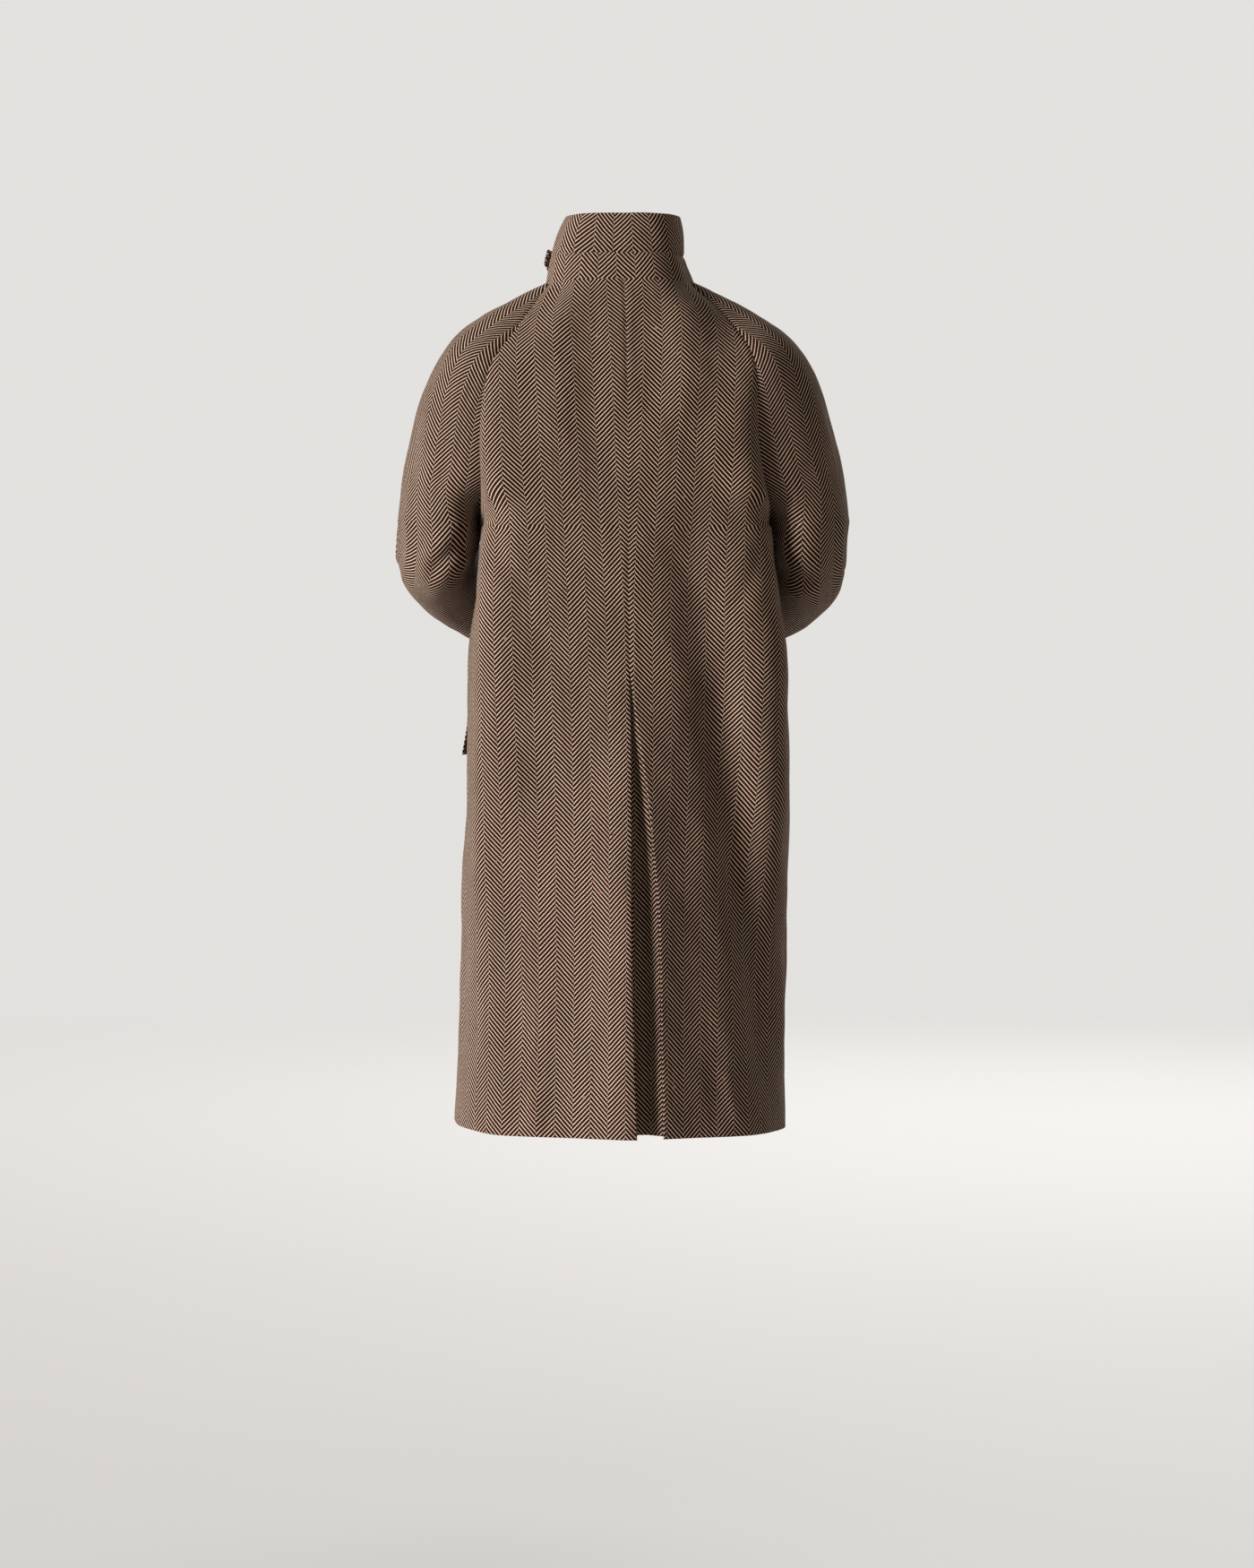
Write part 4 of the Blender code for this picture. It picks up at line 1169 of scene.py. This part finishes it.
def noise(tree, place, scale, detail=2.0, roughness=0.5):
    """Noise over a place: its value and its colour."""
    made = tree.nodes.new("ShaderNodeTexNoise")
    put(tree, made.inputs["Vector"], place)
    made.inputs["Scale"].default_value = scale
    made.inputs["Detail"].default_value = detail
    made.inputs["Roughness"].default_value = roughness
    return made.outputs[0], made.outputs[1]


def speck(tree, across, down):
    """One even random number for each cell of whole steps across and down."""
    place = tree.nodes.new("ShaderNodeCombineXYZ")
    put(tree, place.inputs[0], calc(tree, "FLOOR", across))
    put(tree, place.inputs[1], calc(tree, "FLOOR", down))
    made = tree.nodes.new("ShaderNodeTexWhiteNoise")
    made.noise_dimensions = "2D"
    put(tree, made.inputs["Vector"], place.outputs[0])
    return made.outputs["Value"]


def mixed(tree, share, first, second, blend="MIX"):
    """Two colours mixed."""
    made = tree.nodes.new("ShaderNodeMix")
    made.data_type = "RGBA"
    made.blend_type = blend
    put(tree, made.inputs[0], share)
    put(tree, made.inputs[6], first)
    put(tree, made.inputs[7], second)
    return made.outputs[2]


def bumped(tree, height, strength, distance):
    """Normal raised by a height."""
    made = tree.nodes.new("ShaderNodeBump")
    made.inputs["Strength"].default_value = strength
    made.inputs["Distance"].default_value = distance
    put(tree, made.inputs["Height"], height)
    return made.outputs[0]


def new_material(name, **sockets):
    """Material with the numbers of its shader set, its tree and its shader."""
    made = bpy.data.materials.new(name)
    made.use_nodes = True
    shader = made.node_tree.nodes["Principled BSDF"]
    for socket, value in sockets.items():
        shader.inputs[socket.replace("_", " ")].default_value = value
    return made, made.node_tree, shader


def weave_place(tree):
    """Lengths across and down the cloth, and both as one place."""
    source = tree.nodes.new("ShaderNodeUVMap")
    source.uv_map = "weave"
    parts = tree.nodes.new("ShaderNodeSeparateXYZ")
    tree.links.new(source.outputs[0], parts.inputs[0])
    return parts.outputs[0], parts.outputs[1], source.outputs[0]


def strayed(tree, value, place, channel, scale, reach):
    """Length moved by noise, so that yarn edges are soft and rows run a little unevenly."""
    parts = tree.nodes.new("ShaderNodeSeparateColor")
    tree.links.new(noise(tree, place, scale)[1], parts.inputs[0])
    off = calc(tree, "SUBTRACT", parts.outputs[channel], 0.5)
    return calc(tree, "MULTIPLY_ADD", off, reach, value)


def tweed():
    """Woollen herringbone in pale and dark brown yarns, with a soft nap, a few bright flecks and painted
    shade that darkens each thread towards its sides.
    """
    made, tree, shader = new_material(
        "herringbone_tweed",
        Roughness=0.88,
        Specular_IOR_Level=0.06,
        Sheen_Weight=0.02,
        Sheen_Roughness=0.40,
        Sheen_Tint=(0.86, 0.72, 0.58, 1.0),
    )
    across, down, place = weave_place(tree)
    for scale, reach in STRAYS:
        across = strayed(tree, across, place, 0, scale, reach)
        down = strayed(tree, down, place, 1, scale, reach)
    thread = calc(tree, "DIVIDE", across, COLUMN / COLUMN_THREADS)
    pick = calc(tree, "DIVIDE", down, TWILL_PITCH / TWILL_PICKS)
    column = calc(tree, "FLOOR", calc(tree, "DIVIDE", across, COLUMN))
    odd = calc(tree, "FLOORED_MODULO", column, 2.0)
    zigzag = calc(tree, "PINGPONG", thread, float(COLUMN_THREADS))
    step = calc(tree, "MULTIPLY_ADD", odd, COLUMN_BREAK, calc(tree, "SUBTRACT", pick, zigzag))
    wave = calc(tree, "SINE", calc(tree, "MULTIPLY", step, math.pi / 2))
    pale_share = remap(tree, wave, *PALE_BAND)
    thread_relief_and_shade = calc(tree, "ABSOLUTE", calc(tree, "SINE", calc(tree, "MULTIPLY", thread, math.pi)))
    fibre = noise(tree, place, FIBRE_SCALE, 3.0, 0.65)[0]
    tone = noise(tree, place, TONE_SCALE, 2.0)[0]
    end_tone = speck(tree, thread, calc(tree, "MULTIPLY", pick, END_RUN))
    pick_tone = speck(tree, calc(tree, "MULTIPLY", thread, PICK_RUN), pick)
    pale = mixed(tree, end_tone, PALE_YARN, PALE_YARN_WARM)
    dark = mixed(tree, pick_tone, DARK_YARN, DARK_YARN_RED)
    colour = mixed(tree, pale_share, dark, pale)
    fleck_across = calc(tree, "MULTIPLY", across, FLECKS_ACROSS)
    fleck = speck(tree, fleck_across, calc(tree, "MULTIPLY", down, FLECKS_DOWN))
    colour = mixed(tree, remap(tree, fleck, *RED_FLECKS, 0.0, 0.7), colour, FLECK_RED)
    colour = mixed(tree, remap(tree, fleck, *OCHRE_FLECKS, 0.5, 0.0), colour, FLECK_OCHRE)
    # Lightness of the colour: random fibre and patch tone, times painted shade that darkens each thread
    # towards its sides
    light = calc(tree, "MULTIPLY_ADD", fibre, *FIBRE_LIGHT)
    light = calc(tree, "MULTIPLY", light, calc(tree, "MULTIPLY_ADD", thread_relief_and_shade, *THREAD_PAINTED_SHADE))
    light = calc(tree, "MULTIPLY", light, remap(tree, tone, 0.3, 0.7, *TONE_LIGHT))
    grey = tree.nodes.new("ShaderNodeCombineColor")
    for channel in range(3):
        tree.links.new(light, grey.inputs[channel])
    tree.links.new(mixed(tree, 1.0, colour, grey.outputs[0], "MULTIPLY"), shader.inputs["Base Color"])
    height = calc(tree, "MULTIPLY_ADD", pale_share, 0.6, calc(tree, "MULTIPLY", thread_relief_and_shade, 0.3))
    height = calc(tree, "MULTIPLY_ADD", fibre, 0.5, height)
    tree.links.new(bumped(tree, height, 0.55, 0.0007), shader.inputs["Normal"])
    return made


def lining():
    """Smooth brown lining with a fine twill."""
    made, tree, shader = new_material(
        "lining", Roughness=0.42, Specular_IOR_Level=0.35, Sheen_Weight=0.1
    )
    across, down, place = weave_place(tree)
    twill = calc(tree, "MULTIPLY", calc(tree, "ADD", across, down), 2 * math.pi / LINING_TWILL)
    wave = calc(tree, "SINE", twill)
    tone = noise(tree, place, 24.0, 3.0)[0]
    tree.links.new(mixed(tree, tone, LINING_DARK, LINING_LIGHT), shader.inputs["Base Color"])
    tree.links.new(bumped(tree, wave, 0.25, 0.0002), shader.inputs["Normal"])
    return made


def horn():
    """Polished horn, streaked and mottled."""
    made, tree, shader = new_material(
        "polished_horn", Roughness=0.50, Specular_IOR_Level=0.28, Coat_Weight=0.05, Coat_Roughness=0.35
    )
    source = tree.nodes.new("ShaderNodeTexCoord")
    stretch = tree.nodes.new("ShaderNodeMapping")
    stretch.inputs["Scale"].default_value = HORN_STRETCH
    tree.links.new(source.outputs["Object"], stretch.inputs["Vector"])
    streak = noise(tree, stretch.outputs[0], HORN_STREAKS, 5.0, 0.6)[0]
    grain = noise(tree, source.outputs["Object"], HORN_GRAIN, 2.0)[0]
    share = remap(tree, streak, *HORN_BAND)
    tree.links.new(mixed(tree, share, HORN_DARK, HORN_LIGHT), shader.inputs["Base Color"])
    tree.links.new(bumped(tree, grain, 0.12, 0.0001), shader.inputs["Normal"])
    return made


def sewing_thread():
    """Twisted sewing thread."""
    made, tree, shader = new_material("sewing_thread", Roughness=0.75, Sheen_Weight=0.15)
    source = tree.nodes.new("ShaderNodeTexCoord")
    fibre = noise(tree, source.outputs["Object"], THREAD_FIBRE, 3.0)[0]
    tree.links.new(mixed(tree, fibre, THREAD_DARK, THREAD_LIGHT), shader.inputs["Base Color"])
    tree.links.new(bumped(tree, fibre, 0.5, 0.0003), shader.inputs["Normal"])
    return made


def skin(made, rings):
    """Faces between rings of vertices, closed at both ends."""
    for low, high in zip(rings, rings[1:]):
        for k in range(len(low)):
            following = (k + 1) % len(low)
            made.faces.new((low[k], low[following], high[following], high[k]))
    made.faces.new(rings[0][::-1])
    made.faces.new(rings[-1])


def turned(profile, sides):
    """Mesh turned from rows of (radius, height), closed at both ends."""
    made = bmesh.new()
    rings = []
    for radius, height in profile:
        ring = []
        for k in range(sides):
            angle = 2 * math.pi * k / sides
            ring.append(made.verts.new((radius * math.cos(angle), radius * math.sin(angle), height)))
        rings.append(ring)
    skin(made, rings)
    return made


def tube(made, line, radius):
    """Adds a round thread along a line of points to a mesh, closed at both ends."""
    line = np.array(line)
    ways = unit(np.gradient(line, axis=0))
    rings = []
    for point, way in zip(line, ways):
        first = unit(np.cross(way, TUBE_ASIDE))
        second = np.cross(way, first)
        ring = []
        for k in range(TUBE_SIDES):
            angle = 2 * math.pi * k / TUBE_SIDES
            outward = math.cos(angle) * first + math.sin(angle) * second
            ring.append(made.verts.new(point + radius * outward))
        rings.append(ring)
    skin(made, rings)


def finish_mesh(name, made):
    """Smooth mesh from a built one, with its sharp edges kept."""
    bmesh.ops.recalc_face_normals(made, faces=made.faces)
    mesh = bpy.data.meshes.new(name)
    made.to_mesh(mesh)
    made.free()
    mesh.polygons.foreach_set("use_smooth", np.ones(len(mesh.polygons), dtype=bool))
    mesh.set_sharp_from_angle(angle=math.radians(TURNED_CORNER))
    return mesh


def button_sewing(at, radius, height):
    """Two pairs of threads over a button, each from one hole to the next and sunk at its ends."""
    made = bmesh.new()
    top = height * BUTTON_DISH
    for side in (-1, 1):
        arc = []
        for t in np.linspace(0, math.pi, STITCH_POINTS):
            sunk = abs(math.cos(t)) > STITCH_SUNK_FROM
            level = top + height * STITCH_RISE * math.sin(t) - height * STITCH_SINK * sunk
            arc.append((at * math.cos(t), side * at, level))
        tube(made, arc, radius * STITCH_THREAD)
        second = [(x, y + side * radius * STITCH_PITCH, z) for x, y, z in arc]
        tube(made, second, radius * STITCH_SECOND_THREAD)
    return made


def sewn_button(node, radius, height, place, normal):
    """Horn button with a raised rim, four drilled holes and its sewing."""
    profile = [(radius * r, height * h) for r, h in BUTTON_PROFILE]
    mesh = finish_mesh(f"horn_{node}", turned(profile, BUTTON_SIDES))
    piece = link(f"horn_{node}", mesh, "button", MATERIALS["horn"])
    at = radius * BUTTON_HOLE_PLACE
    drill = bmesh.new()
    for x, y in ((at, at), (-at, at), (-at, -at), (at, -at)):
        place_of = Matrix.Translation((x, y, height / 2))
        size = radius * BUTTON_HOLE_RADIUS
        bmesh.ops.create_cone(
            drill,
            cap_ends=True,
            segments=BUTTON_HOLE_SIDES,
            radius1=size,
            radius2=size,
            depth=height * 3,
            matrix=place_of,
        )
    cutter = bpy.data.objects.new("drill", finish_mesh("drill", drill))
    bpy.context.scene.collection.objects.link(cutter)
    cut = piece.modifiers.new("holes", "BOOLEAN")
    cut.operation = "DIFFERENCE"
    cut.object = cutter
    view = bpy.context.evaluated_depsgraph_get()
    drilled = bpy.data.meshes.new_from_object(piece.evaluated_get(view))
    piece.modifiers.clear()
    piece.data = drilled
    bpy.data.objects.remove(cutter)
    sewing = finish_mesh(f"stitches_{node}", button_sewing(at, radius, height))
    stitches = link(f"stitches_{node}", sewing, "button", MATERIALS["thread"])
    turn = Vector(normal).to_track_quat("Z", "Y").to_matrix().to_4x4()
    for made in (piece, stitches):
        made.matrix_world = Matrix.Translation(Vector(place + normal * LAID_GAP)) @ turn
    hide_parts(node)
    return piece


def front_strip(drop, places):
    """Row of points on the front at one drop with outward normals, at lengths from the centre line."""
    if drop < UNDERARM_DROP:
        drops = [row.front_drop for row in YOKE]
        along = float(np.interp(drop, drops, [row.along for row in YOKE]))
        rings = [yoke_ring(along + step * STRIP_ALONG) for step in (-1, 0, 1)]
    else:
        rings = [body_ring(drop + step * STRIP_DROP) for step in (-1, 0, 1)]
    spans = []
    for ring in rings:
        front = middle_of(ring, "front")
        start = front + STRIP_START
        spans.append((ring, start, start + STRIP_WIDTH, front + GRAIN_ASIDE))
    grid = panel(spans, (np.asarray(places) - STRIP_START) / STRIP_WIDTH)
    shift = crease_shift(grid.points, grid.normals)
    points = grid.points + grid.normals * shift[:, :, None]
    return points[1], grid.normals[1]


def buttonhole(name, drop):
    """Corded buttonhole that runs from under a button towards the side."""
    turns = np.linspace(0, 2 * math.pi, BUTTONHOLE_POINTS + 1)[:-1]
    half = BUTTONHOLE_LENGTH / 2
    reach = np.sign(np.cos(turns)) * np.abs(np.cos(turns)) ** 0.35
    rises = BUTTONHOLE_WIDTH * np.sign(np.sin(turns)) * np.abs(np.sin(turns)) ** 0.6
    points, normals = front_strip(drop, -half + BUTTONHOLE_OVER + half * reach)
    points = points + normals * BUTTONHOLE_CORD * BUTTONHOLE_SEAT
    points[:, 2] += rises
    made = bmesh.new()
    tube(made, np.vstack([points, points[:2]]), BUTTONHOLE_CORD)
    return link(name, finish_mesh(name, made), "tweed", MATERIALS["thread"])


def drift_of(grid):
    """Offset of the weave on a back panel at each row."""
    return np.array([[row_at(DRIFTS, -z).back + GRAIN_ASIDE] for z in grid.points[:, 0, 2]])


def build():
    """All pieces of the coat."""
    shoulder = 1 - (1 - spread(YOKE_SPAN, STEP)) ** YOKE_CROWD
    yoke = [(yoke_ring(along), 0.0) for along in shoulder]
    length = HEM_DROP - UNDERARM_DROP
    body = [(body_ring(drop), drop) for drop in UNDERARM_DROP + length * spread(length, STEP)[1:]]
    neck = yoke[0][0]
    grids = body_panels(yoke + body)
    hem = {"bottom": HEM_TURN}
    sewn = dict(start="seam", end="seam", top="plain", bottom="free")
    loose = dict(start="free", end="free", top="free", bottom="free")
    cloth("back_left", grids["back_left"], CLOTH, dict(sewn, start="vent"),
          drift_of(grids["back_left"]), dict(hem, start=VENT_FACING))
    cloth("back_right", grids["back_right"], CLOTH, dict(sewn, end="vent"),
          drift_of(grids["back_right"]), hem)
    underlap = underlap_grid()
    cloth("vent_underlap", underlap, CLOTH, dict(start="plain", end="free", top="plain", bottom="free"),
          drift_of(underlap), {})
    cloth("front_left", grids["front_left"], CLOTH, dict(sewn, end="free"), FRONT_DRIFT,
          dict(hem, end=FACING))
    cloth("front_right", grids["front_right"], CLOTH, dict(sewn, start="free"), FRONT_DRIFT,
          dict(hem, start=FACING))
    for hand in (1, -1):
        for node, grid in sleeve_panels(yoke, hand).items():
            cloth(node, grid, CLOTH, sewn, SLEEVE_DRIFT, hem)
    collar = collar_grids(neck)
    cloth("collar_stand", collar["collar_stand"], COLLAR_CLOTH, dict(loose, top="seam", bottom="plain"),
          STAND_DRIFT, {})
    cloth("collar_fall", collar["collar_fall"], COLLAR_CLOTH, dict(loose, bottom="seam"),
          FALL_DRIFT, {})
    tab, tab_wall = tab_grid(neck)
    cloth("throat_tab", tab, tab_wall, loose, 0.0, {})
    for side, hand in (("left", 1), ("right", -1)):
        cloth(f"pocket_flap_{side}", flap_grid(hand), CLOTH, dict(loose, top="seam"),
              FRONT_DRIFT, {})
    for number, drop in enumerate(BUTTON_DROPS, 1):
        points, normals = front_strip(drop, [-BUTTON_SEAT, 0.0, BUTTON_SEAT])
        sewn_button(f"button_{number}", BUTTON_RADIUS, BUTTON_HEIGHT, points[1], normals[1])
        buttonhole(f"buttonhole_{number}", drop)
    row = len(tab.points) // 2
    column = int(np.argmin(np.abs(tab.across[row] - (TAB_LENGTH - TAB_BUTTON_PLACE))))
    sewn_button("throat_button", TAB_BUTTON_RADIUS, BUTTON_HEIGHT,
                tab.points[row, column], tab.normals[row, column])


def stage():
    """Pale floor that fades out towards its rim."""
    made = bmesh.new()
    bmesh.ops.create_circle(made, cap_ends=True, segments=FLOOR_SIDES, radius=FLOOR_RADIUS)
    mesh = bpy.data.meshes.new("floor")
    made.to_mesh(mesh)
    made.free()
    floor = bpy.data.objects.new("floor", mesh)
    floor.location = (0, 0, FLOOR_LEVEL)
    material, tree, shader = new_material(
        "pale_floor",
        Roughness=0.75,
        Specular_IOR_Level=0.15,
        Emission_Color=FLOOR_GLOW,
        Emission_Strength=1.0,
    )
    source = tree.nodes.new("ShaderNodeTexCoord")
    cloud = noise(tree, source.outputs["Object"], 1.3, 3.0)[0]
    tree.links.new(mixed(tree, cloud, FLOOR_PALE, FLOOR_WORN), shader.inputs["Base Color"])
    parts = tree.nodes.new("ShaderNodeVectorMath")
    parts.operation = "LENGTH"
    tree.links.new(source.outputs["Object"], parts.inputs[0])
    near, far = (FLOOR_RADIUS * share for share in FLOOR_FADES)
    fade = remap(tree, parts.outputs["Value"], near, far, 1.0, 0.0)
    tree.links.new(fade, shader.inputs["Alpha"])
    mesh.materials.append(material)
    bpy.context.scene.collection.objects.link(floor)


def lamp(name, place, target, size, power):
    """Square soft light that looks at a target."""
    data = bpy.data.lights.new(name, "AREA")
    data.size = size
    data.energy = power
    made = bpy.data.objects.new(name, data)
    made.location = place
    made.rotation_euler = (Vector(target) - Vector(place)).to_track_quat("-Z", "Y").to_euler()
    bpy.context.scene.collection.objects.link(made)


def light():
    """Pale surroundings, a wide soft light from the wearer's left and a weak one from the front."""
    world = bpy.data.worlds.new("studio")
    world.use_nodes = True
    tree = world.node_tree
    shade = tree.nodes["Background"]
    path = tree.nodes.new("ShaderNodeLightPath")
    tint = mixed(tree, path.outputs["Is Camera Ray"], AMBIENT_TINT, BACKGROUND)
    tree.links.new(tint, shade.inputs["Color"])
    strength = calc(tree, "MULTIPLY_ADD", path.outputs["Is Camera Ray"], 1.0 - AMBIENT, AMBIENT)
    tree.links.new(strength, shade.inputs["Strength"])
    bpy.context.scene.world = world
    aside = math.radians(SUN_ASIDE)
    rise = math.radians(SUN_RISE)
    away = Vector((math.sin(aside) * math.cos(rise), math.cos(aside) * math.cos(rise), math.sin(rise)))
    data = bpy.data.lights.new("key", "SUN")
    data.energy = SUN_POWER
    data.angle = math.radians(SUN_SOFTNESS)
    made = bpy.data.objects.new("key", data)
    made.rotation_euler = (-away).to_track_quat("-Z", "Y").to_euler()
    bpy.context.scene.collection.objects.link(made)
    lamp("fill", FILL_PLACE, FILL_TARGET, FILL_SIZE, FILL_POWER)


def camera():
    """Camera at the photograph's place, a little to the wearer's left of straight behind."""
    data = bpy.data.cameras.new("camera")
    data.sensor_width = SENSOR
    data.lens = SENSOR * CAMERA_FOCAL / IMAGE_HEIGHT
    made = bpy.data.objects.new("camera", data)
    yaw = math.radians(CAMERA_YAW)
    pitch = math.atan((IMAGE_HEIGHT / 2 - CAMERA_LEVEL) / CAMERA_FOCAL)
    away = Vector((math.sin(yaw), math.cos(yaw), 0))
    side = Vector((-math.cos(yaw), math.sin(yaw), 0))
    made.location = away * CAMERA_DISTANCE + side * CAMERA_ASIDE + Vector((0, 0, CAMERA_HEIGHT))
    look = -away * math.cos(pitch) - Vector((0, 0, math.sin(pitch)))
    made.rotation_euler = look.to_track_quat("-Z", "Y").to_euler()
    bpy.context.scene.collection.objects.link(made)
    bpy.context.scene.camera = made


MATERIALS = {"tweed": tweed(), "lining": lining(), "horn": horn(), "thread": sewing_thread()}
camera()
build()
stage()
light()
bpy.context.scene.view_settings.view_transform = "Standard"
bpy.context.view_layer.update()
